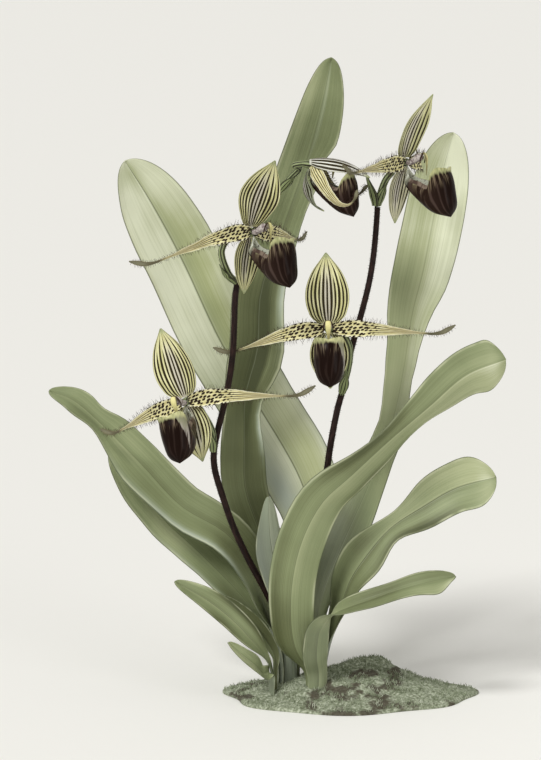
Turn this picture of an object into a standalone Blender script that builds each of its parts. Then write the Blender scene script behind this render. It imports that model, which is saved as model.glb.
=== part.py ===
"""A slipper orchid plant in a low mound of mossy soil: three growths of strap leaves, two dark flower
stems and five striped, pouched flowers, one of them still opening.

World: metres, +Z up, the mound's flat underside on z = 0, +Y away from the viewer. Shapes are drawn in
millimetres and scaled to metres when their mesh is made.
"""

import math

import bmesh
import bpy
from mathutils import Matrix, Vector

MM = 0.001

# Driving dimensions, in millimetres
LEAF_THICKNESS = 1.3
SHEATH_STEP = 2.3  # from one leaf sheath to the next one out
STEM_RADIUS = 3.3
OVARY_RADIUS = 3.1
SEPAL_LENGTH = 68.0
SEPAL_WIDTH = 42.0
LOWER_SEPAL_LENGTH = 54.0
LOWER_SEPAL_WIDTH = 37.0
PETAL_LENGTH = 122.0
PETAL_WIDTH = 16.4
PETAL_THICKNESS = 1.1
POUCH_WALL = 1.1
BRACT_LENGTH = 26.0
SEAT_GAP = 0.35  # between pieces that touch
HUB_RADIUS = 4.0
MOUND_HEIGHT = 17.0
MOUND_CENTRE = (42.0, 8.0)
MOUND_REACH = (120.0, 70.0)
HOLE_FLOOR = 6.0  # height of the bottom of the holes that the growths stand in

# Each growth: the axis of its bundle of leaf bases, and the radius of its innermost sheath
GROWTHS = {
    "left": {"axis": (-16.0, 18.0), "inner": 5.6},
    "right": {"axis": (9.0, -8.0), "inner": 5.6},
    "young": {"axis": (-27.0, -13.0), "inner": 2.6},
}

# Each leaf: its growth, its place counted from the innermost sheath, the direction of its keel and half the
# angle that its base wraps round the growth, in degrees, its width, the share of that width it has low down,
# how far up it stays rolled, how deep its channel is in degrees, where its tip starts to round and how
# bluntly, the height of the waves along its edges, where an edge draws in or bulges (which edge, its place,
# the depth as a share of the half-width, its length) and the line of its midrib above the sheath with the
# way its upper face looks
LEAVES = {
    "leaf_tall_middle": {
        "growth": "left", "order": 0, "keel": 100, "wrap": 66, "width": 53,
        "neck": 0.6, "opens": 150, "cup": 14, "tip": (0.83, 2.1), "wave": 1.2,
        "dents": [(-1, 0.52, 0.28, 0.05), (1, 0.5, 0.36, 0.06), (1, 0.6, -0.12, 0.04),
                  (1, 0.79, 0.4, 0.07), (1, 0.855, 0.24, 0.016)],
        "midrib": [
            ((-14, 31, 60), (0.1, -1, 0.0)),
            ((-23, 39, 93), (0.1, -1, 0.1)),
            ((-41, 47, 147), (0.2, -1, 0.1)),
            ((-58, 51, 196), (0.2, -1, 0.1)),
            ((-59, 55, 244), (0.1, -1, 0.0)),
            ((-58, 60, 288), (-0.1, -1, 0.0)),
            ((-47, 66, 332), (-0.2, -1, 0.1)),
            ((-43, 74, 388), (-0.1, -1, 0.2)),
            ((-21, 79, 448), (0.1, -1, 0.2)),
            ((1, 75, 511), (0.2, -1, 0.2)),
            ((15, 62, 562), (0.2, -1, 0.3)),
            ((25, 48, 613), (0.2, -1, 0.4)),
        ],
    },
    "leaf_tall_left": {
        "growth": "left", "order": 4, "keel": 82, "wrap": 42, "width": 77,
        "neck": 0.46, "opens": 95, "cup": 13, "tip": (0.85, 1.6), "wave": 1.6,
        "midrib": [
            ((-11, 40, 56), (0.1, -1, 0.1)),
            ((1, 53, 90), (0.2, -1, 0.1)),
            ((9, 66, 128), (0.4, -1, 0.1)),
            ((7, 77, 166), (0.4, -1, 0.1)),
            ((-3, 83, 198), (0.3, -1, 0.1)),
            ((-19, 87, 229), (0.3, -1, 0.1)),
            ((-47, 91, 275), (0.3, -1, 0.2)),
            ((-83, 93, 337), (0.2, -1, 0.2)),
            ((-119, 92, 415), (0.2, -1, 0.2)),
            ((-149, 88, 472), (0.1, -1, 0.3)),
            ((-174, 82, 513), (0.1, -1, 0.4)),
        ],
    },
    "leaf_tall_right": {
        "growth": "right", "order": 0, "keel": 70, "wrap": 80, "width": 59,
        "neck": 0.5, "opens": 150, "cup": 16, "tip": (0.85, 2.0), "wave": 1.4,
        "dents": [(-1, 0.48, 0.35, 0.05), (-1, 0.62, 0.18, 0.05),
                  (1, 0.52, -0.15, 0.04), (1, 0.64, 0.24, 0.05)],
        "midrib": [
            ((11, 8, 60), (-0.3, -1, 0.0)),
            ((17, 25, 96), (-0.4, -1, 0.1)),
            ((36, 36, 143), (-0.5, -1, 0.1)),
            ((61, 46, 198), (-0.8, -0.8, 0.1)),
            ((84, 53, 258), (-1.0, -0.5, 0.1)),
            ((96, 59, 312), (-1.0, -0.55, 0.1)),
            ((104, 62, 365), (-0.7, -0.9, 0.1)),
            ((115, 70, 407), (-0.3, -1, 0.1)),
            ((124, 75, 451), (0.0, -1, 0.2)),
            ((133, 75, 499), (0.1, -1, 0.2)),
            ((143, 66, 541), (0.1, -1, 0.4)),
        ],
    },
    "leaf_front_right": {
        "growth": "right", "order": 1, "keel": -122, "wrap": 62, "width": 49,
        "neck": 0.84, "opens": 60, "cup": 16, "tip": (0.93, 2.0), "wave": 1.0,
        "dents": [(-1, 0.78, 0.42, 0.08), (-1, 0.96, -0.15, 0.03),
                  (1, 0.725, 0.58, 0.09), (1, 0.975, -0.2, 0.02)],
        "midrib": [
            ((-8, -23, 54), (0.4, 1, 0.1)),
            ((-13, -29, 84), (0.2, 1, 0.2)),
            ((-12, -36, 124), (0.0, 1, 0.2)),
            ((-3, -42, 164), (-0.1, 1, 0.2)),
            ((15, -44, 200), (-0.3, 1, 0.3)),
            ((42, -44, 226), (-0.35, 0.95, 0.35)),
            ((79, -41, 260), (-0.35, 0.95, 0.35)),
            ((115, -36, 290), (-0.3, 1, 0.3)),
            ((150, -29, 319), (-0.25, 1, 0.2)),
            ((188, -22, 333), (-0.2, 1, 0.1)),
        ],
    },
    "leaf_side_right": {
        "growth": "right", "order": 2, "keel": 8, "wrap": 52, "width": 49,
        "neck": 0.6, "opens": 90, "cup": 16, "tip": (0.9, 2.0), "wave": 1.0,
        "dents": [(-1, 0.69, 0.56, 0.09), (-1, 0.95, -0.15, 0.04),
                  (1, 0.65, 0.34, 0.07), (1, 0.96, -0.15, 0.04)],
        "midrib": [
            ((24, -7, 55), (-1, -0.1, 0.0)),
            ((33, -9, 88), (-1, -0.4, 0.3)),
            ((42, -9, 116), (-0.9, -0.8, 0.5)),
            ((58, -8, 141), (-0.6, -1, 0.5)),
            ((82, -4, 168), (-0.4, -1, 0.5)),
            ((113, 0, 188), (-0.3, -1, 0.4)),
            ((144, -1, 206), (-0.2, -1, 0.3)),
            ((182, -4, 217), (-0.1, -1, 0.2)),
        ],
    },
    "leaf_low_right": {
        "growth": "right", "order": 3, "keel": -72, "wrap": 48, "width": 28,
        "neck": 0.95, "opens": 50, "cup": 20, "tip": (0.84, 2.0), "wave": 0.8,
        "dents": [(-1, 0.76, 0.3, 0.08), (1, 0.6, -0.3, 0.06), (1, 0.92, -0.8, 0.05)],
        "midrib": [
            ((11, -27, 44), (-0.3, 1, 0.1)),
            ((11, -31, 60), (-0.4, 1, 0.2)),
            ((13, -35, 75), (-0.5, 0.8, 0.5)),
            ((20, -38, 87), (-0.5, 0.4, 0.9)),
            ((34, -40, 96), (-0.3, -0.2, 1)),
            ((58, -41, 105), (-0.2, -0.6, 1)),
            ((88, -42, 116), (-0.1, -0.7, 1)),
            ((118, -41, 124), (0.1, -0.6, 1)),
            ((142, -38, 128), (0.2, -0.4, 1)),
        ],
    },
    "leaf_front_left": {
        "growth": "left", "order": 2, "keel": 190, "wrap": 56, "width": 47,
        "neck": 0.7, "opens": 90, "cup": 18, "tip": (0.66, 1.5), "wave": 1.4,
        "dents": [(-1, 0.69, -0.25, 0.05), (-1, 0.81, 0.35, 0.05), (1, 0.83, 0.3, 0.04)],
        "midrib": [
            ((-30, 15, 54), (1, 0.0, 0.2)),
            ((-38, 14, 86), (0.9, -0.5, 0.3)),
            ((-49, 20, 122), (0.6, -0.9, 0.4)),
            ((-76, 24, 157), (0.5, -1, 0.5)),
            ((-120, 31, 183), (0.4, -1, 0.5)),
            ((-158, 40, 222), (0.5, -1, 0.5)),
            ((-195, 48, 258), (0.4, -1, 0.6)),
            ((-223, 52, 282), (0.3, -1, 0.8)),
            ((-248, 54, 292), (0.2, -1, 1.0)),
        ],
    },
    "leaf_under_left": {
        "growth": "left", "order": 3, "keel": 176, "wrap": 50, "width": 44,
        "neck": 0.7, "opens": 100, "cup": 16, "tip": (0.84, 2.0), "wave": 1.4,
        "midrib": [
            ((-34, 20, 46), (1, 0.0, 0.2)),
            ((-43, 24, 66), (0.9, -0.3, 0.3)),
            ((-57, 30, 89), (0.8, -0.7, 0.4)),
            ((-80, 38, 113), (0.6, -0.9, 0.5)),
            ((-109, 46, 140), (0.5, -1, 0.6)),
            ((-135, 52, 163), (0.5, -1, 0.6)),
            ((-163, 58, 196), (0.4, -1, 0.6)),
            ((-188, 62, 236), (0.3, -1, 0.8)),
        ],
    },
    "leaf_small_middle": {
        "growth": "left", "order": 1, "keel": -62, "wrap": 60, "width": 29,
        "neck": 0.9, "opens": 120, "cup": 42, "tip": (0.6, 1.8), "wave": 0.6,
        "dents": [(1, 0.8, -0.35, 0.12)],
        "midrib": [
            ((-14, 6, 60), (-0.3, 1, 0.1)),
            ((-20, -3, 99), (-0.3, 1, 0.1)),
            ((-27, -8, 125), (-0.2, 1, 0.1)),
            ((-33, -11, 158), (0.0, 1, 0.1)),
            ((-35, -9, 199), (0.1, 1, 0.2)),
        ],
    },
    "leaf_young_long": {
        "growth": "young", "order": 1, "keel": 180, "wrap": 43, "width": 27,
        "neck": 0.45, "opens": 70, "cup": 22, "tip": (0.7, 1.8), "wave": 0.6,
        "midrib": [
            ((-37.2, -17.6, 43), (1, -0.2, 0.3)),
            ((-50, -20.5, 61), (0.7, -0.7, 0.5)),
            ((-70, -22, 83), (0.5, -0.9, 0.6)),
            ((-95, -24, 103), (0.5, -1, 0.7)),
            ((-124, -25, 120), (0.4, -1, 0.9)),
        ],
    },
    "leaf_young_short": {
        "growth": "young", "order": 0, "keel": 140, "wrap": 56, "width": 19,
        "neck": 0.55, "opens": 60, "cup": 26, "tip": (0.65, 1.8), "wave": 0.5,
        "midrib": [
            ((-30, -6, 44), (0.8, -0.7, 0.2)),
            ((-42, -3, 64), (0.7, -0.8, 0.3)),
            ((-57, 1, 80), (0.6, -1, 0.5)),
            ((-78, 3, 99), (0.4, -1, 0.8)),
        ],
    },
    "leaf_young_low": {
        "growth": "young", "order": 2, "keel": 208, "wrap": 45, "width": 19,
        "neck": 0.7, "opens": 40, "cup": 26, "tip": (0.6, 1.8), "wave": 0.5,
        "dents": [(-1, 0.65, -0.25, 0.2), (1, 0.65, -0.25, 0.2)],
        "midrib": [
            ((-40.5, -27.5, 31), (0.9, -0.2, 0.5)),
            ((-47, -35, 41), (0.6, -0.5, 0.8)),
            ((-58, -39, 51), (0.4, -0.6, 1)),
            ((-73, -38.5, 64), (0.3, -0.6, 1)),
        ],
    },
}

# The two flower stems: the line of each above its growth, from the soil to its last flower
STEMS = {
    "stem_left": {
        "growth": "left",
        "line": [(-18, 16, 54), (-26, 13, 78), (-41, 8, 110), (-62, 0, 152), (-76, -7, 191), (-86, -11, 226),
                 (-86, -12, 249), (-80, -11, 275), (-73, -9, 306), (-68, -6, 344), (-67, -4, 377),
                 (-65, -2, 400), (-59, 1, 423), (-49, 4, 450), (-35, 6, 474), (-25, 6, 488)],
    },
    "stem_right": {
        "growth": "right",
        "line": [(8, -9, 59), (3, -9, 110), (11, -7, 172), (20, -4, 220), (25, -2, 253), (31, 0, 283),
                 (37, 1, 306), (44, 3, 340), (53, 5, 372), (61, 6, 405), (65, 6, 433), (67, 6, 457),
                 (68, 6, 474)],
    },
}

# Each flower: the stem it leaves, the height where it does and how far off, the line of its ovary, its
# middle, how it is turned in degrees (yaw to the viewer's right, tilt forwards, roll clockwise), its size,
# how its upper and lower sepals lean from upright at their root and tip, how far either twists, and how its
# petals sweep back and droop, or for the one still opening, how deep its upper sepal is, how far its column
# rises and its petals' lines. One stem ends in a second bract, round the line given with its last flower
FLOWERS = {
    "low_left": {
        "stem": "stem_left", "node": 250, "seat": 2.75,
        "ovary": [(-88, -22, 264), (-95, -31, 280)],
        "middle": (-112, -54, 297), "yaw": -22, "tilt": 6, "roll": -18, "size": 1.0,
        "dorsal": (0, 2), "lower": (0, 22), "sweep": (24, 26), "droop": (10, 20),
    },
    "high_left": {
        "stem": "stem_left", "node": 398, "seat": 1.5,
        "ovary": [(-74, -15, 416), (-79, -17, 434), (-72, -18, 448)],
        "middle": (-51, -44, 455), "yaw": 50, "tilt": 2, "roll": 5, "size": 1.0,
        "dorsal": (8, 36), "twist": -30, "lower": (-12, 14), "sweep": (47, 19), "droop": (27, 6),
    },
    "opening": {
        "stem": "stem_left", "node": None, "ovary": [(-14, 4, 502), (-6, -2, 511)],
        "middle": (5, -12, 515), "yaw": 82, "tilt": 8, "roll": 0, "size": 0.9,
        "dorsal": (72, 130), "lower": (-18, 88), "lower_twist": -27, "cup": 72, "rise": 0.3,
        "petals": (
            [(-5.4, -2, 0), (-12.5, -9, -8), (-17, -20, -21), (-18.5, -34, -33), (-18, -46, -34),
             (-16.5, -52, -26), (-16, -53, -17)],
            [(5.4, -2, 0), (12.5, -9, -8), (17, -20, -20), (18.5, -34, -30), (18, -47, -29),
             (16.5, -55, -21), (16, -60, -13)],
        ),
    },
    "middle": {
        "stem": "stem_right", "node": 304, "seat": 2.75,
        "ovary": [(41, -11, 326), (41, -16, 345), (33, -20, 358)],
        "middle": (21, -38, 364), "yaw": -1, "tilt": 2, "roll": -2, "size": 1.0,
        "dorsal": (4, 10), "lower": (-2, -8), "sweep": (30, 18), "droop": (19, 9),
    },
    "high_right": {
        "stem": "stem_right", "node": None, "ovary": [(71, 5, 488), (76, 1, 501), (82, -5, 510)],
        "middle": (92, -24, 518), "yaw": 56, "tilt": 2, "roll": 0, "size": 1.0,
        "dorsal": (10, 46), "twist": 0, "lower": (-20, 10), "sweep": (-5, 34), "droop": (3, 4),
        "tip_bract": [(67.6, 6, 474), (67, 6, 484), (65.5, 5, 496), (64, 4, 512)],
    },
}

# Half-widths along a sepal, from its root to its tip, as shares of its widest
SEPAL_SHAPE = [0.42, 0.76, 0.9, 0.98, 1.0, 0.97, 0.88, 0.74, 0.54, 0.28, 0.03]
# Half-widths along a petal: broad by the flower, narrow beyond its middle, and a small club at its tip
PETAL_SHAPE = [0.62, 0.9, 1.0, 0.98, 0.88, 0.78, 0.66, 0.53, 0.4, 0.27, 0.16, 0.13, 0.15, 0.24, 0.27, 0.08]
# The slipper, half of each ring from its front to its back, as (out to the side, forwards, down): its rim,
# which dips at each side and runs back to a narrow claw, then three rings down to its toe
POUCH_RINGS = [
    [(0, 45, 3), (8, 43.5, 3), (12, 38.5, 4), (12.6, 35, 9.5), (10.4, 32, 18.5), (8.6, 22, 16),
     (6.2, 9, 13), (0, 3.5, 3.7)],
    [(0, 50, 12), (8, 48, 12.5), (12.8, 42.5, 15), (13.6, 37, 20), (12.2, 31, 26.5), (9.2, 20, 24.5),
     (5.8, 6, 20.5), (0, 2.5, 18.5)],
    [(0, 53, 24), (7, 51.5, 24.5), (11.8, 46.5, 27), (13.4, 40.5, 31), (12.2, 33, 35), (9, 25, 34.5),
     (5, 17, 31.5), (0, 15.5, 30)],
    [(0, 55, 36), (5, 54.3, 36.5), (8.5, 51, 39), (9.2, 46, 41.5), (8.4, 41, 43), (6, 36, 43),
     (3.2, 33, 41.2), (0, 32, 40.3)],
]
POUCH_TOE = (0, 51.5, 46.5)


def clear_scene():
    for obj in list(bpy.data.objects):
        bpy.data.objects.remove(obj)


def make_material(name, colour, roughness):
    material = bpy.data.materials.new(name)
    material.use_nodes = True
    shader = material.node_tree.nodes["Principled BSDF"]
    shader.inputs["Base Color"].default_value = (*colour, 1)
    shader.inputs["Roughness"].default_value = roughness
    shader.inputs["Metallic"].default_value = 0
    return material


def ease(x):
    """0 below 0, 1 above 1, and a smooth step between."""
    x = min(max(x, 0.0), 1.0)
    return x * x * (3 - 2 * x)


def mix(a, b, share):
    return a + (b - a) * share


def along(points, place):
    """The point at place, from 0 to 1, on a smooth curve through points."""
    last = len(points) - 1
    at = min(max(place, 0.0), 1.0) * last
    i = min(int(at), last - 1)
    t = at - i
    p1, p2 = points[i], points[i + 1]
    p0 = points[i - 1] if i > 0 else p1 * 2 - p2
    p3 = points[i + 2] if i + 2 <= last else p2 * 2 - p1
    return 0.5 * (p1 * 2 + (p2 - p0) * t + (p0 * 2 - p1 * 5 + p2 * 4 - p3) * t**2
                  + (p1 * 3 - p0 - p2 * 3 + p3) * t**3)


def new_object(name, bm, material, smooth=True):
    """Scales a mesh drawn in millimetres to metres and puts it in the scene."""
    bmesh.ops.scale(bm, vec=(MM, MM, MM), verts=bm.verts)
    bmesh.ops.recalc_face_normals(bm, faces=bm.faces)
    mesh = bpy.data.meshes.new(name)
    bm.to_mesh(mesh)
    bm.free()
    mesh.materials.append(material)
    if smooth:
        mesh.shade_smooth()
    obj = bpy.data.objects.new(name, mesh)
    bpy.context.scene.collection.objects.link(obj)
    return obj


def skin(rows, ring=False, tip=None):
    """A triangulated sheet over rows of points. ring joins each row's ends, and tip closes the last row."""
    bm = bmesh.new()
    grid = [[bm.verts.new(p) for p in row] for row in rows]
    count = len(rows[0])
    for a, b in zip(grid, grid[1:]):
        for j in range(count if ring else count - 1):
            k = (j + 1) % count
            if 2 * j < count - 1:
                bm.faces.new((a[j], a[k], b[k]))
                bm.faces.new((a[j], b[k], b[j]))
            else:
                bm.faces.new((a[j], a[k], b[j]))
                bm.faces.new((a[k], b[k], b[j]))
    if tip is not None:
        end = bm.verts.new(tip)
        for j in range(count if ring else count - 1):
            bm.faces.new((grid[-1][j], grid[-1][(j + 1) % count], end))
    return bm


def add_wall(obj, thickness, side=0.0):
    """Gives a sheet its thickness, in millimetres."""
    wall = obj.modifiers.new("Wall", "SOLIDIFY")
    wall.thickness = thickness * MM
    wall.offset = side
    wall.use_even_offset = False


def make_tube(name, centres, radii, sides, material, squash=None, ribs=0.0):
    """A closed rod through centres. squash(i) flattens a section, and ribs raises three ridges along it."""
    rings = []
    across = None
    for i, centre in enumerate(centres):
        ahead = centres[min(i + 1, len(centres) - 1)] - centres[max(i - 1, 0)]
        ahead.normalize()
        if across is None:
            across = Vector((1, 0, 0)) if abs(ahead.x) < 0.9 else Vector((0, 0, 1))
        across = (across - ahead * across.dot(ahead)).normalized()
        up = ahead.cross(across)
        flat = squash(i) if squash else 1.0
        ring = []
        for j in range(sides):
            turn = 2 * math.pi * j / sides
            radius = radii[i] * (1 + ribs * math.cos(3 * turn))
            ring.append(centre + across * radius * math.cos(turn) + up * radius * flat * math.sin(turn))
        rings.append(ring)
    bm = bmesh.new()
    grid = [[bm.verts.new(p) for p in ring] for ring in rings]
    for a, b in zip(grid, grid[1:]):
        for j in range(sides):
            k = (j + 1) % sides
            bm.faces.new((a[j], a[k], b[k], b[j]))
    bm.faces.new(grid[0])
    bm.faces.new(grid[-1])
    return new_object(name, bm, material)


def leaf_outline(t, neck, tip):
    """A strap leaf's width, as a share of its widest, from its base (0) to its tip (1)."""
    body = mix(neck, 1.0, ease((t - 0.1) / 0.5))
    start, bluntness = tip
    if t > start:
        body *= math.sqrt(max(1 - ((t - start) / (1 - start)) ** bluntness, 0.0))
    return max(body, 0.05)


def dented(t, side, dents):
    """How far one edge of a leaf reaches at t, as a share of what it would without its dents."""
    share = 1.0
    for where, place, depth, length in dents:
        if where == side:
            share -= depth * math.exp(-(((t - place) / length) ** 2))
    return share


def make_leaf(name, leaf, material):
    """A strap leaf that starts as a sheath rolled round its growth and opens into a shallow channel."""
    growth = GROWTHS[leaf["growth"]]
    small = leaf["width"] < 22
    stations, halves = (10, 2) if small else (17, 3)
    sheath = growth["inner"] + leaf["order"] * SHEATH_STEP
    wrap = math.radians(leaf["wrap"])
    keel = math.radians(leaf["keel"])
    outward = Vector((math.cos(keel), math.sin(keel), 0))
    foot = Vector((*growth["axis"], HOLE_FLOOR + SEAT_GAP)) + outward * sheath
    points = [foot, foot + Vector((0, 0, 22)) + outward * 0.5] + [Vector(p) for p, _ in leaf["midrib"]]
    faces = [-outward, -outward] + [Vector(f).normalized() for _, f in leaf["midrib"]]
    rows = []
    run = 0.0
    before = foot
    for i in range(stations + 1):
        u = i / stations
        t = 1 - max(1 - u + 0.085 * math.sin(2 * math.pi * u), 0.0) ** 1.3
        centre = along(points, t)
        ahead = (along(points, min(t + 0.01, 1)) - along(points, max(t - 0.01, 0))).normalized()
        run += (centre - before).length
        before = centre
        look = along(faces, t)
        look = (look - ahead * look.dot(ahead)).normalized()
        across = ahead.cross(look)
        opened = ease((run - 16) / leaf["opens"])
        bend = mix(wrap, math.radians(leaf["cup"]), opened)
        blade = leaf["width"] / 2 * leaf_outline(t, leaf["neck"], leaf["tip"])
        half = mix(sheath * wrap, blade, ease(run / leaf["opens"]))
        reach = {side: dented(t, side, leaf.get("dents", [])) for side in (-1, 1)}
        row = []
        for j in range(-halves, halves + 1):
            v = j / halves
            radius = half / bend
            lift = radius * (1 - math.cos(bend * v))
            ripple = math.sin(run / 17 + (1.5 if v > 0 else 0)) * min(half / 12, 1)
            lift += leaf["wave"] * opened * v**2 * ripple
            lift -= 1.2 * opened * max(1 - 2.5 * abs(v), 0)
            out = radius * math.sin(bend * v) * reach[1 if v > 0 else -1]
            row.append(centre + across * out + look * lift)
        rows.append(row)
    leaf_object = new_object(name, skin(rows), material)
    add_wall(leaf_object, LEAF_THICKNESS)


def make_stem(name, stem, material):
    growth = GROWTHS[stem["growth"]]
    foot = Vector((*growth["axis"], HOLE_FLOOR + SEAT_GAP))
    points = [foot, foot + Vector((0, 0, 24))] + [Vector(p) for p in stem["line"]]
    count = 22
    centres = [along(points, i / count) for i in range(count + 1)]
    radii = [mix(STEM_RADIUS, STEM_RADIUS * 0.82, i / count) for i in range(count + 1)]
    make_tube(name, centres, radii, 8, material)
    return centres, radii


def turned(flower):
    """The turn from a flower's own frame, facing -Y with +Z up, to the world."""
    yaw, tilt, roll = (math.radians(flower[k]) for k in ("yaw", "tilt", "roll"))
    return Matrix.Rotation(yaw, 3, "Z") @ Matrix.Rotation(tilt, 3, "X") @ Matrix.Rotation(roll, 3, "Y")


def blade_rows(centres, looks, half_widths, halves, cup, wave=0.0):
    """Rows of points across a blade bent round its length, cup degrees from its middle to its edge."""
    rows = []
    last = len(centres) - 1
    bend = math.radians(cup)
    for i, centre in enumerate(centres):
        ahead = (centres[min(i + 1, last)] - centres[max(i - 1, 0)]).normalized()
        look = (looks[i] - ahead * looks[i].dot(ahead)).normalized()
        across = ahead.cross(look)
        radius = half_widths[i] / bend
        row = []
        for j in range(-halves, halves + 1):
            v = j / halves
            lift = radius * (1 - math.cos(bend * v))
            lift += wave * abs(v) * math.sin(1.9 * i + (0.8 if v > 0 else 0)) * min(half_widths[i] / 6, 1)
            row.append(centre + across * radius * math.sin(bend * v) + look * lift)
        rows.append(row)
    return rows


def make_sepal(name, place, lean, length, width, cup, twist, material, stations=10, halves=3):
    """A broad pointed sepal. lean is its angle forwards from upright, in degrees, at its root and its tip."""
    step = length / stations
    point = Vector((0, 1.9, HUB_RADIUS + SEAT_GAP + 0.6 * math.sin(math.radians(abs(lean[0])))))
    centres, looks, half_widths = [], [], []
    for i in range(stations + 1):
        t = i / stations
        angle = math.radians(mix(lean[0], lean[1], t))
        centres.append(point)
        spin = Matrix.Rotation(math.radians(twist) * ease(2 * t), 3, "Z")
        looks.append(spin @ Vector((0, -math.cos(angle), -math.sin(angle))))
        half_widths.append(width / 2 * along([Vector((s, 0, 0)) for s in SEPAL_SHAPE], t).x)
        point = point + Vector((0, -math.sin(angle), math.cos(angle))) * step
    rows = blade_rows(centres, looks, half_widths, halves, cup)
    sheet = skin([[place(p) for p in row] for row in rows])
    add_wall(new_object(name, sheet, material), PETAL_THICKNESS)


def swept_petal(side, sweep, droop):
    """The line of an open petal to one side (-1 or +1) that sweeps back and droops, with a raised tip."""
    points = []
    point = Vector((side * (HUB_RADIUS + SEAT_GAP), -1.6, 0))
    steps = 15
    for i in range(steps + 1):
        points.append(point)
        t = i / steps
        back = math.radians(sweep) * ease((t + 0.05) * 2.4)
        fall = math.radians(droop) * ease((t + 0.1) * 2) - math.radians(34) * ease((t - 0.72) / 0.2)
        point = point + Vector((side * math.cos(back) * math.cos(fall), math.sin(back) * math.cos(fall),
                                -math.sin(fall))) * (PETAL_LENGTH / steps)
    return points


def make_petal(name, place, line, length, front, material):
    """A long narrow petal with waved edges and a small club at its tip, along a line of points."""
    count = len(PETAL_SHAPE) - 1
    centres = [along(line, i / count) for i in range(count + 1)]
    half_widths = [PETAL_WIDTH / 2 * s * length for s in PETAL_SHAPE]
    rows = blade_rows(centres, [front] * (count + 1), half_widths, 2, 24, 1.0)
    sheet = skin([[place(p) for p in row] for row in rows])
    add_wall(new_object(name, sheet, material), PETAL_THICKNESS)


def make_pouch(name, place, material):
    """The slipper: a deep cup with a notch at each side of its mouth, hung from a narrow claw."""
    around, deep = 12, 7
    rings = [[Vector((x, -forward, -down)) for x, forward, down in ring] for ring in POUCH_RINGS]
    toe = Vector((POUCH_TOE[0], -POUCH_TOE[1], -POUCH_TOE[2]))
    rows = []
    for i in range(deep):
        row = []
        for j in range(around):
            turn = 2 * j / around
            mirror = -1 if turn > 1 else 1
            turn = 2 - turn if turn > 1 else turn
            column = [along(ring, turn) for ring in rings] + [toe]
            point = along(column, i / deep)
            row.append(place(Vector((point.x * mirror, point.y, point.z))))
        rows.append(row)
    pouch = new_object(name, skin(rows, ring=True, tip=place(toe)), material)
    add_wall(pouch, POUCH_WALL)


def make_column(name, place, rise, material):
    """The column, which rises forwards and bends down at its end into the narrow beak of the staminode."""
    line = [(0, -2.5 - SEAT_GAP, 0), (0, -6, 0.3 * rise), (0, -10, 2.6 * rise), (0, -15, 5.4 * rise),
            (0, -19.5, 6.6 * rise), (0, -22.4, 3.6 * rise), (0, -23, -4), (0, -23.2, -12)]
    radii = [2.6, 2.6, 2.9, 3.7, 4.0, 3.4, 2.6, 1.0]
    points = [place(Vector(p)) for p in line]
    make_tube(name, points, radii, 8, material, squash=lambda i: 0.55 if i > 3 else 1.0)


def ovary_line(place, flower, start, leave):
    """The middle of an ovary, from its seat on the stem to the front of the flower's hub."""
    lead = [start, start + leave * 3] + [Vector(p) for p in flower["ovary"]]
    lead += [place(Vector(p)) for p in ((0, 17, -3), (0, 9, -0.4))]
    centres = [along(lead, i / 10) for i in range(11)]
    return centres + [place(Vector((0, 3.6, 0))), place(Vector((0, -2.5, 0)))]


def make_ovary(name, centres, size, material):
    radii = [mix(2.3, OVARY_RADIUS, ease(i / 4)) for i in range(11)] + [HUB_RADIUS, HUB_RADIUS]
    make_tube(name, centres, [r * size for r in radii], 8, material)


def make_bract(name, centres, size, outward, material):
    """The green bract that wraps the outer side of an ovary's foot and ends in a point."""
    rows = []
    steps = 6
    for i in range(steps + 1):
        t = i / steps
        at = (1.5 + BRACT_LENGTH * t * size)
        k = 0
        while k < 9 and at > (centres[k + 1] - centres[k]).length:
            at -= (centres[k + 1] - centres[k]).length
            k += 1
        ahead = (centres[k + 1] - centres[k]).normalized()
        centre = centres[k] + ahead * at
        out = (outward - ahead * outward.dot(ahead)).normalized()
        across = ahead.cross(out)
        radius = (OVARY_RADIUS + 0.1 + 1.2 * ease(t / 0.3) + 2.2 * t * t) * size
        wrap = math.radians(mix(78, 6, ease((t - 0.2) / 0.8)))
        rows.append([centre + out * radius * math.cos(wrap * j / 2) + across * radius * math.sin(wrap * j / 2)
                     for j in range(-2, 3)])
    add_wall(new_object(name, skin(rows), material), 0.9)


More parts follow.
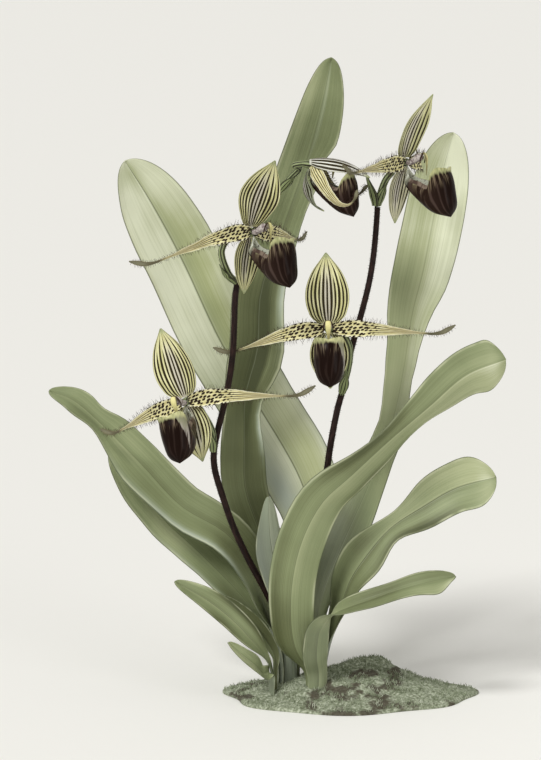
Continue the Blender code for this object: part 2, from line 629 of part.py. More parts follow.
def make_flower(name, flower, stems, materials):
    turn = turned(flower)
    middle = Vector(flower["middle"])
    size = flower["size"]

    def place(p):
        return middle + turn @ p * size

    def hung(p):
        return place(Vector((-p.x, p.y, -p.z)))

    centres, radii = stems[flower["stem"]]
    first = Vector(flower["ovary"][0])
    if flower["node"] is None:
        leave = (centres[-1] - centres[-2]).normalized()
        start = centres[-1] + leave * SEAT_GAP
        outward = Vector((0.2, -1, -0.3))
    else:
        i = min(range(len(centres)), key=lambda k: abs(centres[k].z - flower["node"]))
        ahead = (centres[i + 1] - centres[i - 1]).normalized()
        out = first - centres[i]
        out = (out - ahead * out.dot(ahead)).normalized()
        start = centres[i] + out * (radii[i] + flower["seat"])
        leave = (first - start).normalized()
        outward = out
    line = ovary_line(place, flower, start, leave)
    make_ovary(f"{name}_ovary", line, size, materials["ovary"])
    make_bract(f"{name}_bract", line, size, outward, materials["ovary"])
    if "tip_bract" in flower:
        line = [along([Vector(p) for p in flower["tip_bract"]], k / 10) for k in range(11)]
        make_bract(f"{name}_tip_bract", line, 1.35, Vector((-1, -0.5, 0)), materials["ovary"])
    cup = flower.get("cup", 22)
    make_sepal(f"{name}_dorsal_sepal", place, flower["dorsal"], SEPAL_LENGTH, SEPAL_WIDTH, cup,
               flower.get("twist", 0), materials["sepal"])
    make_sepal(f"{name}_lower_sepal", hung, flower["lower"], LOWER_SEPAL_LENGTH, LOWER_SEPAL_WIDTH, 20,
               flower.get("lower_twist", 0), materials["sepal"], 8, 2)
    for k, label in ((0, "left"), (1, "right")):
        if "petals" in flower:
            line = [Vector(p) for p in flower["petals"][k]]
            make_petal(f"{name}_petal_{label}", place, line, 0.9, Vector((1 - 2 * k, 0.2, 0.3)),
                       materials["petal"])
        else:
            line = swept_petal(2 * k - 1, flower["sweep"][k], flower["droop"][k])
            make_petal(f"{name}_petal_{label}", place, line, 1.0, Vector((0, -1, 0.001)), materials["petal"])
    make_pouch(f"{name}_pouch", place, materials["pouch"])
    make_column(f"{name}_column", place, flower.get("rise", 1.0), materials["column"])


def mound_height(x, y):
    """The soil's height over the ground at a place, lumpy and thin at its edge."""
    u, v = (x - MOUND_CENTRE[0]) / MOUND_REACH[0], (y - MOUND_CENTRE[1]) / MOUND_REACH[1]
    reach = math.sqrt(u * u + v * v)
    dome = MOUND_HEIGHT * (1 - ease(reach)) ** 0.6
    bank = 17 * math.exp(-(((x - 66) / 38) ** 2) - ((y - 40) / 20) ** 2)
    lumps = 1.6 * math.sin(x / 8.7 + 1.3 * math.sin(y / 13)) * math.cos(y / 7.9 + 0.8 * math.sin(x / 11))
    return 3.0 + dome + (bank + lumps) * ease((1.02 - reach) / 0.5)


def make_mound(name, material):
    """The mound of soil and moss, with a plain round hole for each growth."""
    sectors, rings = 40, 11
    bm = bmesh.new()
    top = []
    for i in range(rings + 1):
        ring = []
        for j in range(sectors):
            turn = 2 * math.pi * j / sectors
            reach = (i + 0.35) / (rings + 0.35)
            edge = 1 + 0.05 * math.sin(3 * turn + 0.6) + 0.035 * math.sin(7 * turn)
            x = MOUND_CENTRE[0] + MOUND_REACH[0] * reach * edge * math.cos(turn)
            y = MOUND_CENTRE[1] + MOUND_REACH[1] * reach * edge * math.sin(turn)
            z = mound_height(x, y) if i < rings else 1.6
            ring.append(bm.verts.new((x, y, z)))
        top.append(ring)
    for a, b in zip(top, top[1:]):
        for j in range(sectors):
            k = (j + 1) % sectors
            bm.faces.new((a[j], a[k], b[k], b[j]))
    bm.faces.new(top[0])
    foot = [bm.verts.new((v.co.x, v.co.y, 0)) for v in top[-1]]
    for j in range(sectors):
        k = (j + 1) % sectors
        bm.faces.new((top[-1][j], top[-1][k], foot[k], foot[j]))
    bm.faces.new(foot)
    bmesh.ops.triangulate(bm, faces=bm.faces)
    mound = new_object(name, bm, material)
    for label, growth in GROWTHS.items():
        orders = [leaf["order"] for leaf in LEAVES.values() if leaf["growth"] == label]
        radius = growth["inner"] + max(orders) * SHEATH_STEP + LEAF_THICKNESS / 2 + 1.2
        hole = make_cutter(f"hole_{label}", growth["axis"], radius)
        cut = mound.modifiers.new(f"Hole {label}", "BOOLEAN")
        cut.operation = "DIFFERENCE"
        cut.object = hole


def make_cutter(name, axis, radius):
    sides, top = 20, 80.0
    bm = bmesh.new()
    bmesh.ops.create_cone(bm, cap_ends=True, segments=sides, radius1=radius, radius2=radius,
                          depth=top - HOLE_FLOOR)
    bmesh.ops.translate(bm, verts=bm.verts, vec=(*axis, (top + HOLE_FLOOR) / 2))
    cutter = new_object(name, bm, bpy.data.materials["soil"], smooth=False)
    cutter.hide_render = True
    cutter.display_type = "WIRE"
    return cutter


def build():
    clear_scene()
    materials = {
        "leaf": make_material("leaf", (0.22, 0.32, 0.13), 0.45),
        "stem": make_material("stem", (0.045, 0.022, 0.025), 0.6),
        "sepal": make_material("sepal", (0.62, 0.58, 0.32), 0.5),
        "petal": make_material("petal", (0.60, 0.54, 0.28), 0.5),
        "pouch": make_material("pouch", (0.06, 0.02, 0.025), 0.35),
        "column": make_material("column", (0.72, 0.66, 0.32), 0.5),
        "ovary": make_material("ovary", (0.20, 0.28, 0.12), 0.5),
        "soil": make_material("soil", (0.16, 0.20, 0.11), 0.95),
    }
    make_mound("soil_mound", materials["soil"])
    for name, leaf in LEAVES.items():
        make_leaf(name, leaf, materials["leaf"])
    stems = {name: make_stem(name, stem, materials["stem"]) for name, stem in STEMS.items()}
    for name, flower in FLOWERS.items():
        make_flower(name, flower, stems, materials)


build()
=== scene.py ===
"""A slipper orchid in flower on its mossy mound: fine leaves, blooms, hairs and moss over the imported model.

In the tables, lengths are in millimetres and angles in degrees.
"""

import random
from math import cos, exp, pi, radians, sin, sqrt

import bmesh
import bpy
from mathutils import Matrix, Vector, noise


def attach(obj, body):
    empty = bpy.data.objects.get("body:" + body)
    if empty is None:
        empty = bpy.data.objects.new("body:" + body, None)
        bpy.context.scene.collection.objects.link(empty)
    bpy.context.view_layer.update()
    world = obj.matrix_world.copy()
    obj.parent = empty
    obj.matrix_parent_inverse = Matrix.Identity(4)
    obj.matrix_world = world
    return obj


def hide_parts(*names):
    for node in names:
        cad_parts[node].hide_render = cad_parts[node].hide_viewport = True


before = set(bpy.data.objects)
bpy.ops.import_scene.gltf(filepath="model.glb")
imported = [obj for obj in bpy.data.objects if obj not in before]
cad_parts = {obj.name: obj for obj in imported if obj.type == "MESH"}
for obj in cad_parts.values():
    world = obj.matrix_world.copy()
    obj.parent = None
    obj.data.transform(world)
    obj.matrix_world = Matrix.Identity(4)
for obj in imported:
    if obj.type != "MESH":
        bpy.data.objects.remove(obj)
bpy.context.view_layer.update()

MM = 0.001

# Camera, floor and light
# The plant is seen from 2.6 m in front and slightly from above, through a long lens, on a plain pale floor
# under a large soft light from the upper left, with a weaker one from the right that brings out the gloss.
LOOK_AT = Vector((-33, 0, 310)) * MM
LOOK_DOWN = radians(8)
LOOK_FROM = 2600 * MM
bpy.ops.object.camera_add(
    location=LOOK_AT + Vector((0, -cos(LOOK_DOWN), sin(LOOK_DOWN))) * LOOK_FROM,
    rotation=(radians(90) - LOOK_DOWN, 0, 0))
camera = bpy.context.object
camera.name = "camera"
camera.data.lens = 129.6
camera.data.clip_end = 2000
bpy.context.scene.camera = camera
bpy.context.scene.view_settings.view_transform = "Standard"

bpy.ops.mesh.primitive_circle_add(vertices=64, radius=600, fill_type="NGON", location=(0, 0, -0.0002))
floor = bpy.context.object
floor.name = "floor"
paper = bpy.data.materials.new("floor_paper")
paper.use_nodes = True
paper_shader = paper.node_tree.nodes["Principled BSDF"]
paper_shader.inputs["Base Color"].default_value = (0.86, 0.85, 0.81, 1)
paper_shader.inputs["Roughness"].default_value = 0.95
floor.data.materials.append(paper)

world = bpy.data.worlds.new("studio")
bpy.context.scene.world = world
world.use_nodes = True
sky = world.node_tree.nodes["Background"]
sky.inputs["Color"].default_value = (1.0, 0.99, 0.96, 1)
sky.inputs["Strength"].default_value = 0.5

TOWARD_KEY = Vector((-0.5, -0.62, 0.78))
bpy.ops.object.light_add(type="SUN", rotation=TOWARD_KEY.to_track_quat("Z", "Y").to_euler())
key_light = bpy.context.object
key_light.name = "key_light"
key_light.data.energy = 2.2
key_light.data.angle = radians(18)
SIDE_LIGHT_AT = Vector((1.1, -1.3, 0.75))
SIDE_LIGHT_AIM = Vector((0, 0, 0.35))
bpy.ops.object.light_add(type="AREA", location=SIDE_LIGHT_AT,
                         rotation=(SIDE_LIGHT_AT - SIDE_LIGHT_AIM).to_track_quat("Z", "Y").to_euler())
side_light = bpy.context.object
side_light.name = "side_light"
side_light.data.size = 0.5
side_light.data.energy = 5


# Leaves
# Twelve strap leaves, each a rolled sheath at its foot that opens into a shallow channel with a sunk midrib
# and waved, thinner margins. Each blade is a grid laid along its midrib and given its thickness.
# the axis of each fan of leaves, and the radius of its innermost sheath
GROWTHS = {
    "left": ((-16.0, 18.0), 5.6),
    "right": ((9.0, -8.0), 5.6),
    "young": ((-27.0, -13.0), 2.6),
}
SHEATH_STEP = 2.3
LEAF_FOOT = 6.35
LEAF_THICKNESS = 1.3
SHEATH_HEIGHT = 22
CLOSED_FOOT = 16
RIB_DEPTH = 1.2
LONG_WAVE = 17
SHORT_WAVE = 6.3
# the fan and its place in it, the way it grows out, half the angle that its sheath wraps, its width and the
# share of that at its neck, the length over which it opens, half the angle of its cupped blade, where its tip
# starts and how blunt it is, and the height of its waves; then how pale its left and right halves are at the
# foot and at the tip (0 to 1), tones that hold both the leaf's own colour and painted light and shade, one
# half of the channel lit and the other shaded; how bluish it is beneath and how plain its rib and the painted
# highlight beside it; then the points of its midrib, each with the way that the blade faces there
LEAVES = {
    "leaf_tall_middle": (
        ("left", 0, 100, 66, 53, 0.6, 150, 14, 0.83, 2.1, 1.2), (0.2, 0.15, 0.45, 0.47, 0.8, 0.2), [
        (-14, 31, 60, 0.1, -1, 0), (-23, 39, 93, 0.1, -1, 0.1), (-41, 47, 147, 0.2, -1, 0.1),
        (-58, 51, 196, 0.2, -1, 0.1), (-59, 55, 244, 0.1, -1, 0), (-58, 60, 288, -0.1, -1, 0),
        (-47, 66, 332, -0.2, -1, 0.1), (-43, 74, 388, -0.1, -1, 0.2), (-21, 79, 448, 0.1, -1, 0.2),
        (1, 75, 511, 0.2, -1, 0.2), (15, 62, 562, 0.2, -1, 0.3), (25, 48, 613, 0.2, -1, 0.4)]),
    "leaf_tall_left": (
        ("left", 4, 82, 42, 77, 0.46, 95, 13, 0.85, 1.6, 1.6), (0.62, 0.64, 1.0, 0.93, 0.8, 0.6), [
        (-11, 40, 56, 0.1, -1, 0.1), (1, 53, 90, 0.2, -1, 0.1), (9, 66, 128, 0.4, -1, 0.1),
        (7, 77, 166, 0.4, -1, 0.1), (-3, 83, 198, 0.3, -1, 0.1), (-19, 87, 229, 0.3, -1, 0.1),
        (-47, 91, 275, 0.3, -1, 0.2), (-83, 93, 337, 0.2, -1, 0.2), (-119, 92, 415, 0.2, -1, 0.2),
        (-149, 88, 472, 0.1, -1, 0.3), (-174, 82, 513, 0.1, -1, 0.4)]),
    "leaf_tall_right": (
        ("right", 0, 70, 80, 59, 0.5, 150, 16, 0.85, 2.0, 1.4), (0.34, 0.5, 0.76, 0.96, 0.8, 0.25), [
        (11, 8, 60, -0.3, -1, 0), (17, 25, 96, -0.4, -1, 0.1), (36, 36, 143, -0.5, -1, 0.1),
        (61, 46, 198, -0.8, -0.8, 0.1), (84, 53, 258, -1, -0.5, 0.1), (96, 59, 312, -1, -0.55, 0.1),
        (104, 62, 365, -0.7, -0.9, 0.1), (115, 70, 407, -0.3, -1, 0.1), (124, 75, 451, 0, -1, 0.2),
        (133, 75, 499, 0.1, -1, 0.2), (143, 66, 541, 0.1, -1, 0.4)]),
    "leaf_front_right": (
        ("right", 1, -122, 62, 49, 0.84, 60, 16, 0.93, 2.0, 1.0), (0.44, 0.4, 0.66, 0.48, 0.0, 0.1), [
        (-8, -23, 54, 0.4, 1, 0.1), (-13, -29, 84, 0.2, 1, 0.2), (-12, -36, 124, 0, 1, 0.2),
        (-3, -42, 164, -0.1, 1, 0.2), (15, -44, 200, -0.3, 1, 0.3), (42, -44, 226, -0.35, 0.95, 0.35),
        (79, -41, 260, -0.35, 0.95, 0.35), (115, -36, 290, -0.3, 1, 0.3), (150, -29, 319, -0.25, 1, 0.2),
        (188, -22, 333, -0.2, 1, 0.1)]),
    "leaf_side_right": (
        ("right", 2, 8, 52, 49, 0.6, 90, 16, 0.9, 2.0, 1.0), (0.3, 0.28, 0.68, 0.52, 0.8, 0.45), [
        (24, -7, 55, -1, -0.1, 0), (33, -9, 88, -1, -0.4, 0.3), (42, -9, 116, -0.9, -0.8, 0.5),
        (58, -8, 141, -0.6, -1, 0.5), (82, -4, 168, -0.4, -1, 0.5), (113, 0, 188, -0.3, -1, 0.4),
        (144, -1, 206, -0.2, -1, 0.3), (182, -4, 217, -0.1, -1, 0.2)]),
    "leaf_low_right": (
        ("right", 3, -72, 48, 28, 0.95, 50, 20, 0.84, 2.0, 0.8), (0.54, 0.38, 0.36, 0.5, 0.2, 0.2), [
        (11, -27, 44, -0.3, 1, 0.1), (11, -31, 60, -0.4, 1, 0.2), (13, -35, 75, -0.5, 0.8, 0.5),
        (20, -38, 87, -0.5, 0.4, 0.9), (34, -40, 96, -0.3, -0.2, 1), (58, -41, 105, -0.2, -0.6, 1),
        (88, -42, 116, -0.1, -0.7, 1), (118, -41, 124, 0.1, -0.6, 1), (142, -38, 128, 0.2, -0.4, 1)]),
    "leaf_front_left": (
        ("left", 2, 190, 56, 47, 0.7, 90, 18, 0.66, 1.5, 1.4), (0.37, 0.4, 0.51, 0.5, 0.8, 0.1), [
        (-30, 15, 54, 1, 0, 0.2), (-38, 14, 86, 0.9, -0.5, 0.3), (-49, 20, 122, 0.6, -0.9, 0.4),
        (-76, 24, 157, 0.5, -1, 0.5), (-120, 31, 183, 0.4, -1, 0.5), (-158, 40, 222, 0.5, -1, 0.5),
        (-195, 48, 258, 0.4, -1, 0.6), (-223, 52, 282, 0.3, -1, 0.8), (-248, 54, 292, 0.2, -1, 1)]),
    "leaf_under_left": (
        ("left", 3, 176, 50, 44, 0.7, 100, 16, 0.84, 2.0, 1.4), (0.34, 0.44, 0.58, 0.54, 0.8, 0.2), [
        (-34, 20, 46, 1, 0, 0.2), (-43, 24, 66, 0.9, -0.3, 0.3), (-57, 30, 89, 0.8, -0.7, 0.4),
        (-80, 38, 113, 0.6, -0.9, 0.5), (-109, 46, 140, 0.5, -1, 0.6), (-135, 52, 163, 0.5, -1, 0.6),
        (-163, 58, 196, 0.4, -1, 0.6), (-188, 62, 236, 0.3, -1, 0.8)]),
    "leaf_small_middle": (
        ("left", 1, -62, 60, 29, 0.9, 120, 42, 0.6, 1.8, 0.6), (0.42, 0.32, 0.72, 0.5, 0.7, 0.5), [
        (-14, 6, 60, -0.3, 1, 0.1), (-20, -3, 99, -0.3, 1, 0.1), (-27, -8, 125, -0.2, 1, 0.1),
        (-33, -11, 158, 0, 1, 0.1), (-35, -9, 199, 0.1, 1, 0.2)]),
    "leaf_young_long": (
        ("young", 1, 180, 43, 27, 0.45, 70, 22, 0.7, 1.8, 0.6), (0.42, 0.4, 0.54, 0.46, 0.6, 0.4), [
        (-37.2, -17.6, 43, 1, -0.2, 0.3), (-50, -20.5, 61, 0.7, -0.7, 0.5), (-70, -22, 83, 0.5, -0.9, 0.6),
        (-95, -24, 103, 0.5, -1, 0.7), (-124, -25, 120, 0.4, -1, 0.9)]),
    "leaf_young_short": (
        ("young", 0, 140, 56, 19, 0.55, 60, 26, 0.65, 1.8, 0.5), (0.34, 0.26, 0.5, 0.15, 0.6, 0.3), [
        (-30, -6, 44, 0.8, -0.7, 0.2), (-42, -3, 64, 0.7, -0.8, 0.3), (-57, 1, 80, 0.6, -1, 0.5),
        (-78, 3, 99, 0.4, -1, 0.8)]),
    "leaf_young_low": (
        ("young", 2, 208, 45, 19, 0.7, 40, 26, 0.6, 1.8, 0.5), (0.48, 0.5, 0.7, 0.58, 0.6, 0.2), [
        (-40.5, -27.5, 31, 0.9, -0.2, 0.5), (-47, -35, 41, 0.6, -0.5, 0.8), (-58, -39, 51, 0.4, -0.6, 1),
        (-73, -38.5, 64, 0.3, -0.6, 1)]),
}


def ease(x):
    """0 below 0, 1 above 1, and a smooth step between."""
    x = min(max(x, 0.0), 1.0)
    return x * x * (3 - 2 * x)


def mix(a, b, share):
    """The value at share, from 0 to 1, of the way from a to b."""
    return a + (b - a) * share


def along(points, place):
    """The point at place, from 0 to 1, on a smooth curve through points."""
    last = len(points) - 1
    at = min(max(place, 0.0), 1.0) * last
    i = min(int(at), last - 1)
    t = at - i
    p1, p2 = points[i], points[i + 1]
    p0 = points[i - 1] if i > 0 else p1 * 2 - p2
    p3 = points[i + 2] if i + 2 <= last else p2 * 2 - p1
    return 0.5 * (p1 * 2 + (p2 - p0) * t + (p0 * 2 - p1 * 5 + p2 * 4 - p3) * t**2
                  + (p1 * 3 - p0 - p2 * 3 + p3) * t**3)


def square(way, ahead):
    """The direction nearest to way that is square to ahead."""
    return (way - ahead * way.dot(ahead)).normalized()


def heading(points, place, step):
    """The direction of the curve through points at place."""
    return (along(points, min(place + step, 1)) - along(points, max(place - step, 0))).normalized()


def on_arc(centre, side, look, half, bend, v, lift=0.0, reach=1.0):
    """The point at v, from -1 to 1, across a blade that bends to an arc towards look, lifted and drawn in."""
    radius = half / bend
    return centre + side * radius * sin(bend * v) * reach + look * (radius * (1 - cos(bend * v)) + lift)


def laid_grid(name, rows, columns, point, finishes, thin=None):
    """A grid with a UV map, each of whose crossings goes to point(row, across), in millimetres.

    thin is how late its body thins towards its margins, for give_wall."""
    bpy.ops.object.select_all(action="DESELECT")
    bpy.ops.mesh.primitive_grid_add(x_subdivisions=columns, y_subdivisions=rows, size=1)
    piece = bpy.context.object
    piece.name = name
    piece.data.name = name
    for finish in finishes:
        piece.data.materials.append(finish.material)
    group = piece.vertex_groups.new(name="body") if thin else None
    for vertex in piece.data.vertices:
        row = round((vertex.co.y + 0.5) * rows)
        across = round((vertex.co.x + 0.5) * columns) / columns
        if thin:
            group.add([vertex.index], 1 - abs(2 * across - 1) ** thin, "REPLACE")
        vertex.co = point(row, across) * MM
    return piece


def smooth(crease=60):
    """Shades the active piece smooth, but for edges sharper than crease degrees."""
    bpy.ops.object.shade_smooth_by_angle(angle=radians(crease))


def give_wall(piece, thickness, edge=1.0):
    """Turns a sheet into a closed smooth body. edge is its margins' share of its thickness."""
    wall = piece.modifiers.new("Wall", "SOLIDIFY")
    wall.thickness = thickness * MM
    wall.offset = 0
    wall.use_even_offset = False
    wall.material_offset = 1
    if edge < 1:
        wall.vertex_group = "body"
        wall.thickness_vertex_group = edge
    bpy.context.view_layer.objects.active = piece
    bpy.ops.object.modifier_apply(modifier="Wall")
    piece.vertex_groups.clear()
    smooth()


def shader_sum(operation, turned=False):
    """A method of Value that adds the node of one kind of sum."""
    def add_node(value, other=0.0):
        a, b = (other, value) if turned else (value, other)
        return value.finish.node("Math", {"operation": operation}, {0: a, 1: b})
    return add_node


class Value:
    """A number or vector on a shader's socket. Sums on it add their nodes."""

    def __init__(self, finish, socket):
        self.finish = finish
        self.socket = socket

    __add__ = __radd__ = shader_sum("ADD")
    __sub__ = shader_sum("SUBTRACT")
    __rsub__ = shader_sum("SUBTRACT", turned=True)
    __mul__ = shader_sum("MULTIPLY")
    __mod__ = shader_sum("FLOORED_MODULO")
    __abs__ = shader_sum("ABSOLUTE")

    def rise(self, low, high):
        """0 below low, 1 above high, and a smooth step between."""
        return self.finish.node("MapRange", {"interpolation_type": "SMOOTHSTEP"},
                                {"Value": self, "From Min": low, "From Max": high})

    def fall(self, low, high):
        """1 below low, 0 above high, and a smooth step between."""
        return 1 - self.rise(low, high)


class Finish:
    """A material and the nodes that paint it."""

    def __init__(self, name, roughness, gloss=0.25, soft=0.0):
        self.material = bpy.data.materials.new(name)
        self.material.use_nodes = True
        self.tree = self.material.node_tree
        self.shader = self.tree.nodes["Principled BSDF"]
        for socket, value in (("Roughness", roughness), ("Specular IOR Level", gloss), ("Subsurface Weight", soft),
                              ("Subsurface Radius", (0.004, 0.004, 0.002)), ("Subsurface Scale", 0.5)):
            self.shader.inputs[socket].default_value = value
        uv = self.node("UVMap", {"uv_map": "UVMap"}, {})
        self.across = self.node("SeparateXYZ", {}, {"Vector": uv}, "X")
        self.up = self.node("SeparateXYZ", {}, {"Vector": uv}, "Y")
        self.place = self.node("TexCoord", {}, {}, "Object")

    def node(self, kind, settings, inputs, output=0):
        """Adds a node with its settings and inputs, and gives one of its outputs."""
        node = self.tree.nodes.new("ShaderNode" + kind)
        for key, value in settings.items():
            if key == "stops":
                ramp = node.color_ramp.elements
                while len(ramp) < len(value):
                    ramp.new(0.5)
                for element, (at, colour) in zip(ramp, value):
                    element.position = at
                    element.color = (*colour, 1)
            else:
                setattr(node, key, value)
        for key, value in inputs.items():
            if isinstance(value, Value):
                self.tree.links.new(value.socket, node.inputs[key])
            else:
                node.inputs[key].default_value = value
        return Value(self, node.outputs[output])

    def ramp(self, factor, stops):
        """The colour at factor between stops, each a place from 0 to 1 and a colour."""
        return self.node("ValToRGB", {"stops": stops}, {"Fac": factor})

    def blend(self, factor, a, b):
        """Colour a where factor is 0 and b where it is 1."""
        a, b = ((*c, 1) if isinstance(c, tuple) else c for c in (a, b))
        return self.node("Mix", {"data_type": "RGBA"}, {0: factor, 6: a, 7: b}, 2)

    def layers(self, base, *coats):
        """The base colour under coats, each given by its cover, from 0 to 1, and its colour."""
        for cover, colour in coats:
            base = self.blend(cover, base, colour)
        return base

    def grain(self, x, y, detail=2.0):
        """Noise over the piece's own grid, finer across it and along it by x and y."""
        spot = self.node("CombineXYZ", {}, {"X": self.across * x, "Y": self.up * y})
        return self.node("TexNoise", {}, {"Vector": spot, "Scale": 1.0, "Detail": detail})

    def cloud(self, scale, detail=2.0):
        """Noise through the space that the piece stands in."""
        return self.node("TexNoise", {}, {"Vector": self.place, "Scale": scale, "Detail": detail})

    def paint(self, colour, height=None, distance=0.25):
        """Wires the colour, and a relief whose full height is distance millimetres."""
        self.tree.links.new(colour.socket, self.shader.inputs["Base Color"])
        if height is not None:
            bump = self.node("Bump", {}, {"Height": height, "Distance": distance * MM,
                                                    "Strength": 1.0}, "Normal")
            self.tree.links.new(bump.socket, self.shader.inputs["Normal"])
        return self


def leaf_finish(name, bluish):
    """Green strap leaf: two halves in tones of their own colour with painted light and shade, patches of painted
    light and shade, lengthwise veins, a midrib with a painted highlight beside it and a dark thin margin.
    """
    leaf = Finish(name, 0.45, gloss=0.3)
    foot_left, foot_right, tip_left, tip_right, blue, ribbed, shade, veil = (
        leaf.node("Attribute", {"attribute_name": key}, {}, "Fac") for key in LEAF_TONES)
    x, y = leaf.across, leaf.up
    # the halves' tones from foot to tip, and the shade patches, paint light and shade over the leaf's own colour
    half = x.rise(0.494, 0.506)
    foot = foot_left + (foot_right - foot_left) * half
    tip = tip_left + (tip_right - tip_left) * half
    tone = foot + (tip - foot) * y.rise(0.15, 0.75) + shade
    reach = abs(x - 0.5)
    # painted shade along the channel: beside the midrib one half is a little paler and the other darker
    channel_shading = reach.fall(0.0, 0.2)
    veins = leaf.grain(64, 2.2, 3.0)
    fine = leaf.grain(170, 5.0, 1.0)
    tone = tone + (veins - 0.5) * 0.3 + (fine - 0.5) * 0.16 + (leaf.cloud(16) - 0.5) * 0.36
    tone = tone + channel_shading * (0.06 - half * 0.15)
    colour = leaf.ramp(tone, [
        (0.0, (0.044, 0.052, 0.016)), (0.25, (0.108, 0.122, 0.051)), (0.5, (0.226, 0.262, 0.13)),
        (0.75, (0.385, 0.415, 0.236)), (1.0, (0.69, 0.715, 0.535))])
    rib = reach.fall(0.004, 0.013) * y.rise(0.08, 0.2)
    # a painted highlight: a pale line beside the midrib, on one half, as strong as its rib is plain
    rib_highlight = reach.rise(0.012, 0.02) * reach.fall(0.024, 0.04) * half * y.rise(0.1, 0.25)
    pale = reach.rise(0.43, 0.47) * leaf.grain(3, 14, 1.0).rise(0.35, 0.6)
    margin = reach.rise(0.482, 0.492)
    colour = leaf.layers(
        colour, (blue * bluish + veil * (1 - bluish), (0.4, 0.45, 0.39)), (veil * -1.0, (0.4, 0.44, 0.15)),
        (rib * ribbed, (0.055, 0.066, 0.026)), (rib_highlight * ribbed * 0.45, (0.56, 0.6, 0.42)),
        (pale * 0.5, (0.58, 0.6, 0.4)), (margin * 0.75, (0.07, 0.085, 0.04)))
    relief = veins * 0.6 + fine * 0.4 - reach.fall(0.0, 0.02) * ribbed
    return leaf.paint(colour, relief, 0.35)


LEAF_TONES = ("foot_left", "foot_right", "tip_left", "tip_right", "bluish", "ribbed", "shade", "veil")
leaf_upper = leaf_finish("leaf_upper", 0.0)
leaf_under = leaf_finish("leaf_under", 0.62)

# margins that draw in or bulge: side, place along the leaf, depth as a share of the half, and length
DENTS = {
    "leaf_tall_middle": [(-1, 0.52, 0.28, 0.05), (1, 0.5, 0.36, 0.06), (1, 0.6, -0.12, 0.04),
        (1, 0.79, 0.4, 0.07), (1, 0.855, 0.24, 0.016)],
    "leaf_tall_right": [(-1, 0.48, 0.35, 0.05), (-1, 0.62, 0.18, 0.05),
        (1, 0.52, -0.15, 0.04), (1, 0.64, 0.24, 0.05)],
    "leaf_front_right": [(-1, 0.78, 0.42, 0.08), (-1, 0.96, -0.15, 0.03),
        (1, 0.725, 0.58, 0.09), (1, 0.975, -0.2, 0.02)],
    "leaf_side_right": [(-1, 0.69, 0.56, 0.09), (-1, 0.95, -0.15, 0.04),
        (1, 0.65, 0.34, 0.07), (1, 0.96, -0.15, 0.04)],
    "leaf_low_right": [(-1, 0.76, 0.3, 0.08), (1, 0.6, -0.3, 0.06), (1, 0.92, -0.8, 0.05)],
    "leaf_front_left": [(-1, 0.69, -0.25, 0.05), (-1, 0.81, 0.35, 0.05), (1, 0.83, 0.3, 0.04)],
    "leaf_small_middle": [(1, 0.8, -0.35, 0.12)],
    "leaf_young_low": [(-1, 0.65, -0.25, 0.2), (1, 0.65, -0.25, 0.2)],
}

